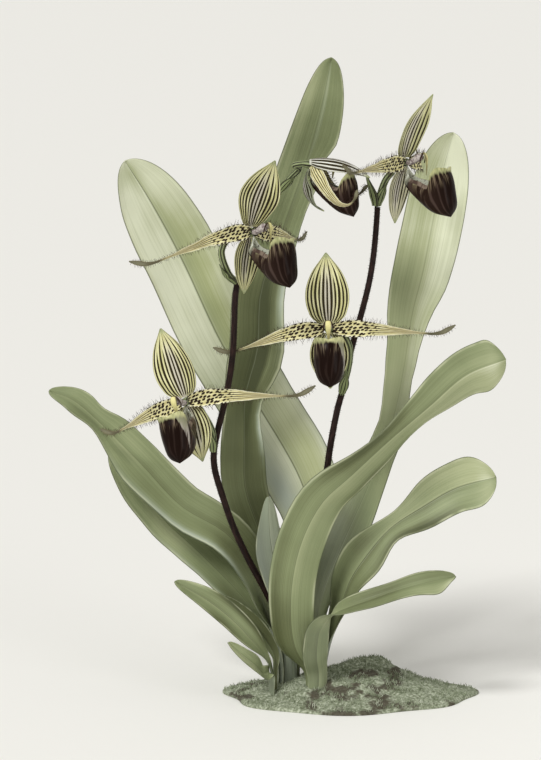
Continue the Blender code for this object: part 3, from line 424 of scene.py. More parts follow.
# patches of painted light and shade on a leaf, some also bluish: place along and across it, length and width
# of the patch, how much paler it is (painted light, and below 0 painted shade), and how bluish, for the
# underside's colour at curled margins and in one place a painted highlight along the midrib (below 0, how yellow)
LEAF_SHADING_PATCHES = {
    "leaf_tall_middle": [
        (0.5, 0.36, 0.08, 0.4, -0.3, 0), (0.8, 0.1, 0.18, 0.2, 0.2, 0), (0.84, 0.54, 0.14, 0.03, 0.25, 0.3),
        (0.432, 0.97, 0.02, 0.07, 0.3, 1.0), (0.562, 0.97, 0.03, 0.08, 0.25, 0.9), (0.5, 0.76, 0.03, 0.05, 0.3, 0),
        (0.51, 0.62, 0.08, 0.16, -0.42, 0)],
    "leaf_tall_left": [
        (0.53, 0.08, 0.05, 0.2, -0.2, 0.2), (0.5, 0.78, 0.1, 0.35, 0.14, 0), (0.84, 0.44, 0.1, 0.1, -0.18, 0),
        (0.44, 0.18, 0.07, 0.2, 0.1, 0.85), (0.46, 1.0, 0.1, 0.05, 0.1, 0.8), (0.63, 0.62, 0.1, 0.17, -0.22, 0),
        (0.46, 0.74, 0.08, 0.22, 0, -0.5), (0.63, 0.72, 0.1, 0.18, 0, -0.28), (0.9, 0.2, 0.07, 0.4, -0.14, 0)],
    "leaf_tall_right": [
        (0.33, 0.5, 0.07, 0.9, -0.34, 0.1), (0.45, 0.2, 0.06, 0.3, 0.15, 0), (0.61, 0.2, 0.05, 0.3, -0.1, 0)],
    "leaf_front_right": [
        (0.3, 0.88, 0.1, 0.2, -0.22, 0), (0.56, 0.9, 0.07, 0.25, -0.36, 0), (0.8, 0.58, 0.15, 0.14, 0.16, 0),
        (0.88, 0.5, 0.06, 0.7, 0.12, 0), (0.54, 0.06, 0.07, 0.12, -0.26, 0), (0.5, 0.99, 0.2, 0.04, 0.3, 0.3),
        (0.42, 0.56, 0.07, 0.2, 0.14, 0)],
    "leaf_side_right": [
        (0.5, 0.25, 0.05, 0.3, -0.26, 0), (0.6, 0.92, 0.12, 0.12, -0.4, 0), (0.27, 0.6, 0.05, 0.5, -0.2, 0),
        (0.88, 0.6, 0.07, 0.5, 0.16, 0), (0.7, 0.45, 0.1, 0.1, -0.1, 0)],
    "leaf_low_right": [
        (0.44, 0.4, 0.05, 0.6, 0.34, 0), (0.6, 0.6, 0.08, 0.4, -0.08, 0), (0.86, 0.93, 0.1, 0.22, 0.36, 0)],
    "leaf_front_left": [
        (0.42, 0.5, 0.04, 0.6, -0.18, 0), (0.55, 0.75, 0.08, 0.3, 0.06, 0), (0.67, 0.25, 0.08, 0.15, -0.12, 0),
        (0.47, 0.02, 0.09, 0.08, 0.2, 0.9)],
    "leaf_under_left": [
        (0.43, 0.2, 0.05, 0.3, -0.14, 0), (0.62, 0.35, 0.08, 0.2, 0.2, 0), (0.5, 0.0, 0.12, 0.08, 0.2, 0.5)],
    "leaf_small_middle": [
        (0.65, 0.3, 0.1, 0.2, 0.18, 0.2), (0.58, 0.88, 0.14, 0.25, -0.42, 0)],
    "leaf_young_long": [
        (0.33, 0.5, 0.05, 0.9, 0.16, 0), (0.53, 0.97, 0.12, 0.15, -0.5, 0), (0.78, 0.2, 0.1, 0.25, -0.14, 0),
        (0.75, 0.95, 0.1, 0.1, 0.3, 0), (0.56, 0.1, 0.1, 0.2, -0.24, 0)],
}

for name, (shape, tones, midrib) in LEAVES.items():
    growth, order, keel, wrap, width, neck, opens, cup, tip_start, bluntness, wave = shape
    (axis_x, axis_y), inner = GROWTHS[growth]
    sheath = inner + order * SHEATH_STEP
    wrap, cup = radians(wrap), radians(cup)
    outward = Vector((cos(radians(keel)), sin(radians(keel)), 0))
    foot = Vector((axis_x, axis_y, LEAF_FOOT)) + outward * sheath
    line = [foot, foot + Vector((0, 0, SHEATH_HEIGHT)) + outward * 0.5] + [Vector(p[:3]) for p in midrib]
    faces = [-outward, -outward] + [Vector(p[3:]).normalized() for p in midrib]
    rows, columns = (40, 12) if width < 22 else (72, 18)
    spine = []
    run, before = 0.0, foot
    for i in range(rows + 1):
        u = i / rows
        t = 1 - max(1 - u + 0.085 * sin(2 * pi * u), 0.0) ** 1.3
        centre = along(line, t)
        ahead = heading(line, t, 0.01)
        run += (centre - before).length
        before = centre
        look = square(along(faces, t), ahead)
        opened = ease((run - CLOSED_FOOT) / opens)
        body = mix(neck, 1.0, ease((t - 0.1) / 0.5))
        if t > tip_start:
            body *= sqrt(max(1 - ((t - tip_start) / (1 - tip_start)) ** bluntness, 0.0))
        half = mix(sheath * wrap, width / 2 * max(body, 0.05), ease(run / opens))
        reach = [1 - sum(depth * exp(-(((t - at) / length) ** 2))
                         for where, at, depth, length in DENTS.get(name, []) if where == margin)
                 for margin in (-1, 1)]
        spine.append((centre, ahead.cross(look), look, half, mix(wrap, cup, opened), opened, run, reach))

    def leaf_point(row, across):
        centre, side, look, half, bend, opened, run, reach = spine[row]
        v = 2 * across - 1
        ripple = sin(run / LONG_WAVE + 1.5 * ease(v + 0.5)) + 0.3 * sin(run / SHORT_WAVE + 2 * v)
        lift = wave * opened * v**2 * ripple * min(half / 12, 1)
        lift -= RIB_DEPTH * opened * max(1 - 2.5 * abs(v), 0)
        return on_arc(centre, side, look, half, bend, v, lift, reach[v > 0])

    leaf = laid_grid(f"{name}_blade", rows, columns, leaf_point, (leaf_upper, leaf_under), 3)
    # the patches' painted light and shade, and their bluish tint, point by point
    places = [(row / rows, column / columns) for row in range(rows + 1) for column in range(columns + 1)]
    patches = [[sum(patch[kind] * exp(-(((t - patch[0]) / patch[2]) ** 2) - ((v - patch[1]) / patch[3]) ** 2)
                    for patch in LEAF_SHADING_PATCHES.get(name, [])) for t, v in places] for kind in (4, 5)]
    for key, values in zip(LEAF_TONES, [[tone] * len(places) for tone in tones] + patches):
        layer = leaf.data.attributes.new(key, "FLOAT", "POINT")
        layer.data.foreach_set("value", values)
    give_wall(leaf, LEAF_THICKNESS, edge=0.5)
    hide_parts(name)
    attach(leaf, "root")


# Flower stems
# Two slender near-black stems, covered in short down, that zigzag slightly at each flower. Each is a round
# rod laid along its middle line, with its short hairs grown on it.
# the fan that each stands in, and the points of its middle line
STEMS = {
    "stem_left": ("left", [
        (-18, 16, 54), (-26, 13, 78), (-41, 8, 110), (-62, 0, 152), (-76, -7, 191), (-86, -11, 226),
        (-86, -12, 249), (-80, -11, 275), (-73, -9, 306), (-68, -6, 344), (-67, -4, 377), (-65, -2, 400),
        (-59, 1, 423), (-49, 4, 450), (-35, 6, 474), (-25, 6, 488)]),
    "stem_right": ("right", [
        (8, -9, 59), (3, -9, 110), (11, -7, 172), (20, -4, 220), (25, -2, 253), (31, 0, 283), (37, 1, 306),
        (44, 3, 340), (53, 5, 372), (61, 6, 405), (65, 6, 433), (67, 6, 457), (68, 6, 474)]),
}
STEM_RADIUS = 3.3
STEM_TIP_RADIUS = STEM_RADIUS * 0.82
STEM_FOOT_HEIGHT = 24
WELD_REACH = 0.01 * MM
THIRD = 2 * pi / 3
HAIR_SEAT = 0.93


def stations(points, steps):
    """The points at even steps along a smooth curve, its ends among them."""
    return [along(points, k / steps) for k in range(steps + 1)]


def weld():
    """Opens the active piece for editing and joins its seam and poles."""
    bpy.ops.object.mode_set(mode="EDIT")
    bpy.ops.mesh.select_all(action="SELECT")
    bpy.ops.mesh.remove_doubles(threshold=WELD_REACH)


def close_ends(crease):
    """Welds the active piece, fills its open ends, turns its faces out and smooths it."""
    weld()
    bpy.ops.mesh.select_all(action="DESELECT")
    bpy.ops.mesh.select_non_manifold()
    bpy.ops.mesh.edge_face_add()
    bpy.ops.mesh.select_all(action="SELECT")
    bpy.ops.mesh.normals_make_consistent(inside=False)
    bpy.ops.object.mode_set(mode="OBJECT")
    smooth(crease)


def laid_rod(name, centres, radii, sides, finishes, crease=50, section=lambda row, turn: (1, 1)):
    """A closed round rod through centres. section(row, turn) shapes its outline as a share of its radius."""
    frames = []
    side = None
    for i, centre in enumerate(centres):
        ahead = (centres[min(i + 1, len(centres) - 1)] - centres[max(i - 1, 0)]).normalized()
        if side is None:
            side = Vector((1, 0, 0)) if abs(ahead.x) < 0.9 else Vector((0, 0, 1))
        side = square(side, ahead)
        frames.append((centre, side, ahead.cross(side), ahead))
    rows = len(centres) - 1

    def rod_point(row, across):
        centre, side, up, _ = frames[row]
        turn = 2 * pi * across
        wide, deep = section(row, turn)
        return centre + side * radii[row] * wide * cos(turn) + up * radii[row] * deep * sin(turn)

    rod = laid_grid(name, rows, sides, rod_point, finishes)
    close_ends(crease)
    return rod, frames


def add_hairs(piece, hairs, slot):
    """Adds thin three-sided hairs, each given by its root, its bend, its tip and its radius, in millimetres."""
    bm = bmesh.new()
    bm.from_mesh(piece.data)
    for root, bend, tip, radius in hairs:
        ahead = (tip - root).normalized()
        side = ahead.orthogonal().normalized()
        up = ahead.cross(side)
        rings = []
        for centre, share in ((root, 1.0), (bend, 0.7)):
            rings.append([bm.verts.new((centre + (side * cos(THIRD * k) + up * sin(THIRD * k))
                                        * radius * share) * MM) for k in range(3)])
        end = bm.verts.new(tip * MM)
        corners = [rings[0][::-1]]
        for k in range(3):
            n = (k + 1) % 3
            corners += [(rings[0][k], rings[0][n], rings[1][n], rings[1][k]), (rings[1][k], rings[1][n], end)]
        for corner in corners:
            bm.faces.new(corner).material_index = slot
    bm.to_mesh(piece.data)
    bm.free()


def down(frames, radii, seed, spacing, length, radius, first=0.0):
    """Short hairs all over a rod, standing out from it and leaning up it."""
    chance = random.Random(seed)
    hairs = []
    for i in range(int(first * len(frames)), len(frames) - 1):
        centre, side, up, ahead = frames[i]
        step = frames[i + 1][0] - centre
        for _ in range(max(1, round(step.length * 2 * pi * radii[i] / spacing))):
            turn = chance.uniform(0, 2 * pi)
            out = side * cos(turn) + up * sin(turn)
            root = centre + step * chance.random() + out * radii[i] * HAIR_SEAT
            reach = length * chance.uniform(0.6, 1.2)
            lean = ahead * chance.uniform(0.0, 0.5)
            hairs.append((root, root + (out + lean * 0.4) * reach * 0.5, root + (out + lean) * reach, radius))
    return hairs


stem_skin = Finish("stem_skin", 0.6, gloss=0.15)
stem_skin.paint(
    stem_skin.blend(stem_skin.grain(9, 60, 3.0).rise(0.35, 0.7), (0.01, 0.005, 0.004), (0.03, 0.014, 0.011)),
    stem_skin.grain(14, 90))
hair_skin = Finish("dark_hair", 0.6, gloss=0.1)
hair_skin.paint(hair_skin.blend(hair_skin.cloud(300), (0.018, 0.01, 0.008), (0.07, 0.038, 0.025)))

stem_lines = {}
for name, (growth, points) in STEMS.items():
    foot = Vector((*GROWTHS[growth][0], LEAF_FOOT))
    line = [foot, foot + Vector((0, 0, STEM_FOOT_HEIGHT))] + [Vector(p) for p in points]
    rows = 110
    coarse = stations(line, 22)
    stem_lines[name] = (coarse, [mix(STEM_RADIUS, STEM_TIP_RADIUS, i / 22) for i in range(23)])
    centres = stations(coarse, rows)
    radii = [mix(STEM_RADIUS, STEM_TIP_RADIUS, i / rows) for i in range(rows + 1)]
    stem, frames = laid_rod(f"{name}_rod", centres, radii, 16, (stem_skin, hair_skin))
    add_hairs(stem, down(frames, radii, seed=7, spacing=4.0, length=1.7, radius=0.13, first=0.12), 1)
    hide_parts(name)
    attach(stem, "root")


# Where the flowers stand
# Each flower leaves its stem on a ribbed ovary and faces its own way. The numbers give its place and turn,
# and every part of it is laid out in the flower's own frame, which faces -Y with +Z up.
# its stem, the height at which it leaves that (None at the tip) and how far off the ovary starts; the points
# of the ovary, the middle of the flower, its turns about Z, X and Y, and its size, if not full; how far its
# sepals lean at root and tip, and twist; how far its left and right petals sweep back and droop, or their points
FLOWERS = {
    "low_left": {
        "stem": "stem_left", "node": 250, "seat": 2.75, "ovary": [(-88, -22, 264), (-95, -31, 280)],
        "middle": (-112, -54, 297), "turn": (-22, 6, -18),
        "dorsal": (0, 2), "lower": (0, 22), "sweep": (24, 26), "droop": (10, 20)},
    "high_left": {
        "stem": "stem_left", "node": 398, "seat": 1.5,
        "ovary": [(-74, -15, 416), (-79, -17, 434), (-72, -18, 448)],
        "middle": (-51, -44, 455), "turn": (50, 2, 5),
        "dorsal": (8, 36), "twist": -30, "lower": (-12, 14), "sweep": (47, 19), "droop": (27, 6)},
    "opening": {
        "stem": "stem_left", "node": None, "ovary": [(-14, 4, 502), (-6, -2, 511)],
        "middle": (5, -12, 515), "turn": (82, 8, 0), "size": 0.9,
        "dorsal": (72, 130), "lower": (-18, 88), "lower_twist": -27, "cup": 72, "rise": 0.3,
        "petals": (
            [(-5.4, -2, 0), (-12.5, -9, -8), (-17, -20, -21), (-18.5, -34, -33), (-18, -46, -34),
             (-16.5, -52, -26), (-16, -53, -17)],
            [(5.4, -2, 0), (12.5, -9, -8), (17, -20, -20), (18.5, -34, -30), (18, -47, -29),
            (16.5, -55, -21), (16, -60, -13)])},
    "middle": {
        "stem": "stem_right", "node": 304, "seat": 2.75,
        "ovary": [(41, -11, 326), (41, -16, 345), (33, -20, 358)],
        "middle": (21, -38, 364), "turn": (-1, 2, -2),
        "dorsal": (4, 10), "lower": (-2, -8), "sweep": (30, 18), "droop": (19, 9)},
    "high_right": {
        "stem": "stem_right", "node": None, "ovary": [(71, 5, 488), (76, 1, 501), (82, -5, 510)],
        "middle": (92, -24, 518), "turn": (56, 2, 0),
        "dorsal": (10, 46), "lower": (-20, 10), "sweep": (-5, 34), "droop": (3, 4),
        "tip_bract": [(67.6, 6, 474), (67, 6, 484), (65.5, 5, 496), (64, 4, 512)]},
}
HUB_RADIUS = 4.0
HUB_LEAD = ((0, 17, -3), (0, 9, -0.4))
HUB_ENDS = ((0, 3.6, 0), (0, -2.5, 0))
SEAT_GAP = 0.35


def placer(flower):
    """The way from a flower's own frame to the plant's."""
    yaw, tilt, roll = (radians(a) for a in flower["turn"])
    turn = Matrix.Rotation(yaw, 3, "Z") @ Matrix.Rotation(tilt, 3, "X") @ Matrix.Rotation(roll, 3, "Y")
    middle, size = Vector(flower["middle"]), flower.get("size", 1.0)
    return lambda p: middle + turn @ p * size


# Ovaries and bracts
# The ovary is a ribbed green rod with dark lines, downy like the stem, that widens into the flower's hub.
# A pointed green bract with dark veins wraps its foot.
OVARY_FOOT_RADIUS = 2.3
OVARY_RADIUS = 3.1
OVARY_RIBS = 6
OVARY_SPANS = 10
SPAN_ROWS = 6
RIBBED_ROWS = 56
DOWNY_ROWS = 58
BRACT_START = 1.5
BRACT_LENGTH = 26.0
TIP_BRACT_SIZE = 1.35
BRACT_THICKNESS = 0.7

ovary_skin = Finish("ovary_skin", 0.5)
ribs = abs((ovary_skin.across * OVARY_RIBS) % 1.0 - 0.5)
ovary_lines = ribs.fall(0.2, 0.28) * (0.85 + ovary_skin.grain(3, 9).rise(0.3, 0.7) * 0.15)
ovary_colour = ovary_skin.blend(ovary_skin.grain(8, 20), (0.17, 0.21, 0.085), (0.36, 0.41, 0.22))
ovary_skin.paint(ovary_skin.blend(ovary_lines, ovary_colour, (0.014, 0.01, 0.006)), ribs, 0.5)

bract_skin = Finish("bract_skin", 0.5)
edge = abs(bract_skin.across - 0.5)
veins = abs((bract_skin.across * 4) % 1.0 - 0.5)
bract_skin.paint(bract_skin.layers(
    (0.14, 0.18, 0.065), (bract_skin.grain(20, 3), (0.32, 0.37, 0.18)),
    (veins.fall(0.12, 0.2), (0.02, 0.018, 0.008)), (edge.rise(0.4, 0.45) * 0.9, (0.016, 0.013, 0.008))),
    veins, 0.3)


def lay_bract(name, line, size, outward):
    """A pointed half-tube of a leaf round the start of a line, on its outward side."""
    rows, spine = 30, []
    for k in range(rows + 1):
        t = k / rows
        at, j = BRACT_START + BRACT_LENGTH * t * size, 0
        while j < OVARY_SPANS - 1 and at > (line[j + 1] - line[j]).length:
            at -= (line[j + 1] - line[j]).length
            j += 1
        ahead = (line[j + 1] - line[j]).normalized()
        out = square(outward, ahead)
        spine.append((line[j] + ahead * at, out, ahead.cross(out), t))

    def bract_point(row, across):
        centre, out, side, t = spine[row]
        radius = (OVARY_RADIUS + 0.2 + 1.2 * ease(t / 0.3) + 2.2 * t * t) * size
        wrap = radians(mix(78, 3, ease((t - 0.2) / 0.8))) * (2 * across - 1)
        return centre + out * radius * cos(wrap) + side * radius * sin(wrap)

    bract = laid_grid(f"{name}_blade", rows, 12, bract_point, (bract_skin, bract_skin))
    give_wall(bract, BRACT_THICKNESS)
    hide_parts(name)
    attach(bract, "root")


for name, flower in FLOWERS.items():
    place = placer(flower)
    size = flower.get("size", 1.0)
    centres, radii = stem_lines[flower["stem"]]
    first = Vector(flower["ovary"][0])
    if flower["node"] is None:
        leave = (centres[-1] - centres[-2]).normalized()
        start = centres[-1] + leave * SEAT_GAP
        outward = Vector((0.2, -1, -0.3))
    else:
        i = min(range(len(centres)), key=lambda k: abs(centres[k].z - flower["node"]))
        ahead = (centres[i + 1] - centres[i - 1]).normalized()
        outward = square(first - centres[i], ahead)
        leave = (first - centres[i] - outward * (radii[i] + flower["seat"])).normalized()
        start = centres[i] + outward * radii[i] * 0.7
    lead = [start, start + leave * 3] + [Vector(p) for p in flower["ovary"]]
    lead += [place(Vector(p)) for p in HUB_LEAD]
    line = stations(lead, OVARY_SPANS) + [place(Vector(p)) for p in HUB_ENDS]
    wide = [mix(OVARY_FOOT_RADIUS, OVARY_RADIUS, ease(k / 4)) * size for k in range(OVARY_SPANS + 1)]
    wide += [HUB_RADIUS * size] * len(HUB_ENDS)
    rows = SPAN_ROWS * (len(line) - 1)
    centres = stations(line, rows)
    radii = [mix(wide[k // SPAN_ROWS], wide[min(k // SPAN_ROWS + 1, len(line) - 1)], k / SPAN_ROWS % 1.0)
             for k in range(rows + 1)]

    def ribbed(row, turn):
        rib = 1 + 0.07 * cos(OVARY_RIBS * turn) * (1 - ease((row - RIBBED_ROWS) / 10))
        return rib, rib

    ovary, frames = laid_rod(f"{name}_ovary_rod", centres, radii, 36, (ovary_skin, hair_skin), section=ribbed)
    add_hairs(ovary, down(frames[:DOWNY_ROWS], radii, seed=11, spacing=5.0, length=1.3, radius=0.1), 1)
    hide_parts(f"{name}_ovary")
    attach(ovary, "root")

    lay_bract(f"{name}_bract", line, size, outward)
    if "tip_bract" in flower:
        line = stations([Vector(p) for p in flower["tip_bract"]], OVARY_SPANS)
        lay_bract(f"{name}_tip_bract", line, TIP_BRACT_SIZE, Vector((-1, -0.5, 0)))


# Sepals
# Each flower has a broad pointed sepal above and a smaller one below, pale yellow with dark brown stripes
# that run together at the root and the tip, greyish mauve between them in the middle.
# its width from root to tip, as a share of the widest
SEPAL_SHAPE = [0.42, 0.76, 0.9, 0.98, 1.0, 0.97, 0.88, 0.74, 0.54, 0.28, 0.03]
PETAL_THICKNESS = 1.1


def sepal_finish(name, stripes, broad, dull, bright):
    """Dark stripes on pale yellow: every second one is thinner and ends early, and none reach the very tip."""
    sepal = Finish(name, 0.55, gloss=0.15, soft=0.05)
    x, y = sepal.across, sepal.up
    reach = abs(x - 0.5)
    lane = x * stripes + (sepal.grain(2.5, 2.5, 1.0) - 0.5) * 0.3
    off = abs(lane % 1.0 - 0.5)
    second = ((lane * 0.5) % 1.0).rise(0.49, 0.51)
    width = broad - second * 0.08 - second * y.rise(0.55, 0.8) * 0.3 - y.rise(0.7, 1.0) * 0.24
    width = width + (sepal.grain(14, 4, 1.0) - 0.5) * 0.16
    ink = (width - off).rise(-0.05, 0.05) * reach.fall(0.465, 0.475) * y.rise(0.0, 0.05)
    middle = reach.fall(0.06, 0.22) * y.fall(0.5, 0.95)
    return sepal.paint(sepal.layers(
        dull, (sepal.grain(24, 2.5).rise(0.3, 0.7), bright), (middle * 0.75, (0.56, 0.52, 0.47)),
        (y.rise(0.88, 0.98), (0.46, 0.5, 0.27)), (reach.rise(0.487, 0.494) * 0.6, (0.16, 0.16, 0.07)),
        (ink, (0.026, 0.019, 0.004))), off, 0.35)


# the upper and the lower sepal of most flowers, of the one seen from its side and of the opening one
SEPAL_LOOKS = {
    "open": (sepal_finish("upper_sepal_stripes", 11, 0.31, (0.52, 0.5, 0.22), (0.82, 0.8, 0.49)),
             sepal_finish("lower_sepal_stripes", 9, 0.28, (0.52, 0.5, 0.22), (0.82, 0.8, 0.49))),
    "high_right": (sepal_finish("turned_upper_sepal", 8, 0.27, (0.44, 0.43, 0.19), (0.74, 0.73, 0.44)),
                   sepal_finish("turned_lower_sepal", 9, 0.25, (0.44, 0.42, 0.25), (0.76, 0.74, 0.54))),
    "opening": (sepal_finish("opening_upper_sepal", 9, 0.36, (0.46, 0.46, 0.38), (0.84, 0.84, 0.76)),
                sepal_finish("opening_lower_sepal", 6, 0.28, (0.12, 0.14, 0.08), (0.42, 0.44, 0.34))),
}

for name, flower in FLOWERS.items():
    place = placer(flower)
    upper_look, lower_look = SEPAL_LOOKS.get(name, SEPAL_LOOKS["open"])
    for part, lean, length, width, cup, twist, upright, skin in (
            ("dorsal_sepal", flower["dorsal"], 68, 42, flower.get("cup", 22), flower.get("twist", 0), 1,
             upper_look),
            ("lower_sepal", flower["lower"], 54, 37, 20, flower.get("lower_twist", 0), -1, lower_look)):
        rows, columns = 48, 18
        coarse = 10 if upright > 0 else 8
        points = [Vector((0, 1.9, HUB_RADIUS + SEAT_GAP + 0.6 * sin(radians(abs(lean[0])))))]
        for i in range(coarse):
            angle = radians(mix(lean[0], lean[1], i / coarse))
            points.append(points[-1] + Vector((0, -sin(angle), cos(angle))) * (length / coarse))
        spine = []
        for i in range(rows + 1):
            t = i / rows
            angle = radians(mix(lean[0], lean[1], t))
            ahead = heading(points, t, 0.02)
            look = Matrix.Rotation(radians(twist) * ease(2 * t), 3, "Z") @ Vector(
                (0, -cos(angle), -sin(angle)))
            look = square(look, ahead)
            half = max(width / 2 * along(SEPAL_SHAPE, t), 0.3)
            spine.append((along(points, t), ahead.cross(look), look, half, radians(cup)))

        def sepal_point(row, across):
            v = 2 * across - 1
            point = on_arc(*spine[row], v, 0.35 * sin(row / 4.5 + 2 * v) * v * v)
            return place(Vector((point.x * upright, point.y, point.z * upright)))

        sepal = laid_grid(f"{name}_{part}_blade", rows, columns, sepal_point, (skin, skin), 3)
        give_wall(sepal, PETAL_THICKNESS, edge=0.5)
        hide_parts(f"{name}_{part}")
        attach(sepal, "root")


# Petals
# Two long narrow petals sweep out from each flower, cream yellow with rows of dark spots that turn into thin
# brown lines, waved and crinkled along both margins, each of which carries a row of fine dark hairs.
# its width from root to tip, as a share of the widest
PETAL_SHAPE = [0.62, 0.9, 1.0, 0.98, 0.88, 0.78, 0.66, 0.53, 0.4, 0.27, 0.16, 0.13, 0.15, 0.24, 0.27, 0.08]
PETAL_LENGTH = 122.0
PETAL_WIDTH = 16.4
SPOT_WIDTH = 3.1
SPOT_PITCH = 4.2
PETAL_BEND = radians(24)
TAIL_FALL = radians(34)
GUIDE_STEPS = 15
PETAL_HAIR_RADIUS = 0.2
MISSING_HAIRS = 0.12


def petal_finish(name, spotted):
    """Cream with dark spots from the root on, where spotted, and dark lines beyond them."""
    petal = Finish(name, 0.55, gloss=0.15, soft=0.05)
    x, y = petal.across, petal.up
    reach = abs(x - 0.5)
    spot = petal.node("CombineXYZ", {}, {
        "X": x * (PETAL_WIDTH / SPOT_WIDTH),
        "Y": y * (PETAL_LENGTH / SPOT_PITCH) + x * (PETAL_WIDTH / SPOT_WIDTH * 0.5)})
    distance, luck = (
        petal.node("TexVoronoi", {"voronoi_dimensions": "2D"},
                   {"Vector": spot, "Scale": 1.0, "Randomness": 0.5}, output) for output in ("Distance", "Color"))
    size = 0.35 + luck * 0.16 - reach * 0.22 + y.fall(0.02, 0.12) * 0.08 - y.rise(0.28, 0.44) * 0.6
    spots = (size - distance).rise(-0.04, 0.04) * spotted
    lane = x * 6 + (petal.grain(2, 5, 1.0) - 0.5) * 0.5
    start = (y + (1 - spotted) * 0.3).rise(0.22, 0.36)
    lines = abs(lane % 1.0 - 0.5).fall(0.1, 0.24) * start * reach.fall(0.38, 0.42)
    return petal.paint(petal.layers(
        (0.58, 0.52, 0.24), (petal.grain(9, 12).rise(0.35, 0.65), (0.78, 0.74, 0.44)),
        (y.rise(0.3, 0.6) * reach.fall(0.3, 0.44) * 0.5, (0.44, 0.36, 0.21)),
        (reach.rise(0.4, 0.47) * y.fall(0.6, 0.8) * 0.8, (0.86, 0.84, 0.64)),
        (y.rise(0.7, 0.78), (0.17, 0.155, 0.09)),
        (reach.fall(0.2, 0.4) * y.rise(0.84, 0.9) * 0.8, (0.27, 0.26, 0.17)),
        (reach.rise(0.47, 0.49) * 0.45, (0.16, 0.13, 0.06)),
        (lines * (1 - y.rise(0.4, 0.75) * 0.75), (0.05, 0.03, 0.012)),
        (spots, (0.02, 0.011, 0.005))), lines + spots * 0.6, 0.3)


spotted_petal = petal_finish("petal_spots", 1)
lined_petal = petal_finish("petal_lines", 0)

for name, flower in FLOWERS.items():
    place = placer(flower)
    for k, label in ((0, "left"), (1, "right")):
        outward = 2 * k - 1
        if "petals" in flower:
            guide = [Vector(p) for p in flower["petals"][k]]
            front, stretch = Vector((-outward, 0.2, 0.3)), 0.9
        else:
            guide, front, stretch = [], Vector((0, -1, 0.001)), 1.0
            point = Vector((outward * (HUB_RADIUS + SEAT_GAP), -1.6, 0))
            for i in range(GUIDE_STEPS + 1):
                guide.append(point)
                t = i / GUIDE_STEPS
                back = radians(flower["sweep"][k]) * ease((t + 0.05) * 2.4)
                fall = radians(flower["droop"][k]) * ease((t + 0.1) * 2)
                fall -= TAIL_FALL * ease((t - 0.72) / 0.2)
                way = Vector((outward * cos(back) * cos(fall), sin(back) * cos(fall),
                              -sin(fall)))
                point = point + way * (PETAL_LENGTH / GUIDE_STEPS)
        rows, columns = 90, 12
        spine = []
        for i in range(rows + 1):
            t = i / rows
            ahead = heading(guide, t, 0.015)
            look = square(front, ahead)
            half = max(PETAL_WIDTH / 2 * stretch * along(PETAL_SHAPE, t), 0.4)
            spine.append((along(guide, t), ahead.cross(look), look, half, ahead))

        def petal_point(row, across):
            centre, side, look, half, _ = spine[row]
            v = 2 * across - 1
            wave = abs(v) * sin(0.317 * row + 0.8 * ease(v + 0.5))
            crinkle = 0.45 * v**4 * sin(1.15 * row + 2 * v)
            return on_arc(centre, side, look, half, PETAL_BEND, v, (wave + crinkle) * min(half / 6, 1))

        skin = lined_petal if "petals" in flower else spotted_petal
        petal = laid_grid(f"{name}_petal_{label}_blade", rows, columns,
                          lambda row, across: place(petal_point(row, across)), (skin, skin, hair_skin), 2)
        give_wall(petal, PETAL_THICKNESS, edge=0.4)
        chance = random.Random(40 + k)
        hairs = []
        for row in range(1, rows - 1):
            t = row / rows
            for across in (0.0, 1.0):
                if chance.random() < MISSING_HAIRS:
                    continue
                _, side, look, _, ahead = spine[row]
                root = petal_point(row, across) + ahead * chance.uniform(-0.6, 0.6)
                reach = mix(5.0, 2.8, ease((t - 0.1) / 0.8)) * chance.uniform(0.6, 1.25)
                way = side * (2 * across - 1) + look * chance.uniform(-0.35, 0.5)
                way += ahead * chance.uniform(-0.45, 0.6)
                bow = ahead * chance.uniform(-0.12, 0.2) * reach
                hairs.append((place(root), place(root + way * reach * 0.5 + bow), place(root + way * reach),
                              PETAL_HAIR_RADIUS))
        add_hairs(petal, hairs, 2)
        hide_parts(f"{name}_petal_{label}")
        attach(petal, "root")


# Pouches
# The slipper is a deep glossy maroon cup, its rim pale yellow green with dark streaks running down from it,
# hung from a pale veined claw. It is laid round rings from its rim to its toe.
# from the rim down, half of each ring from its front to its back: how far aside, forward and below
POUCH_RINGS = [
    [(0, 45, 3), (8, 43.5, 3), (12, 38.5, 4), (12.6, 35, 9.5), (10.4, 32, 18.5), (8.6, 22, 16),
     (6.2, 9, 13), (0, 3.5, 3.7)],
    [(0, 50, 12), (8, 48, 12.5), (12.8, 42.5, 15), (13.6, 37, 20), (12.2, 31, 26.5), (9.2, 20, 24.5),
     (5.8, 6, 20.5), (0, 2.5, 18.5)],
    [(0, 53, 24), (7, 51.5, 24.5), (11.8, 46.5, 27), (13.4, 40.5, 31), (12.2, 33, 35), (9, 25, 34.5),
     (5, 17, 31.5), (0, 15.5, 30)],
    [(0, 55, 36), (5, 54.3, 36.5), (8.5, 51, 39), (9.2, 46, 41.5), (8.4, 41, 43), (6, 36, 43),
     (3.2, 33, 41.2), (0, 32, 40.3)],
]
POUCH_TOE = Vector((0, -51.5, -46.5))
POUCH_WALL = 1.1
POUCH_CENTRE = -34
RIM_FLARE = 1.2
LOBE_HEIGHT = 1.8
POUCH_ROWS = 40
RIM_ROWS = 5


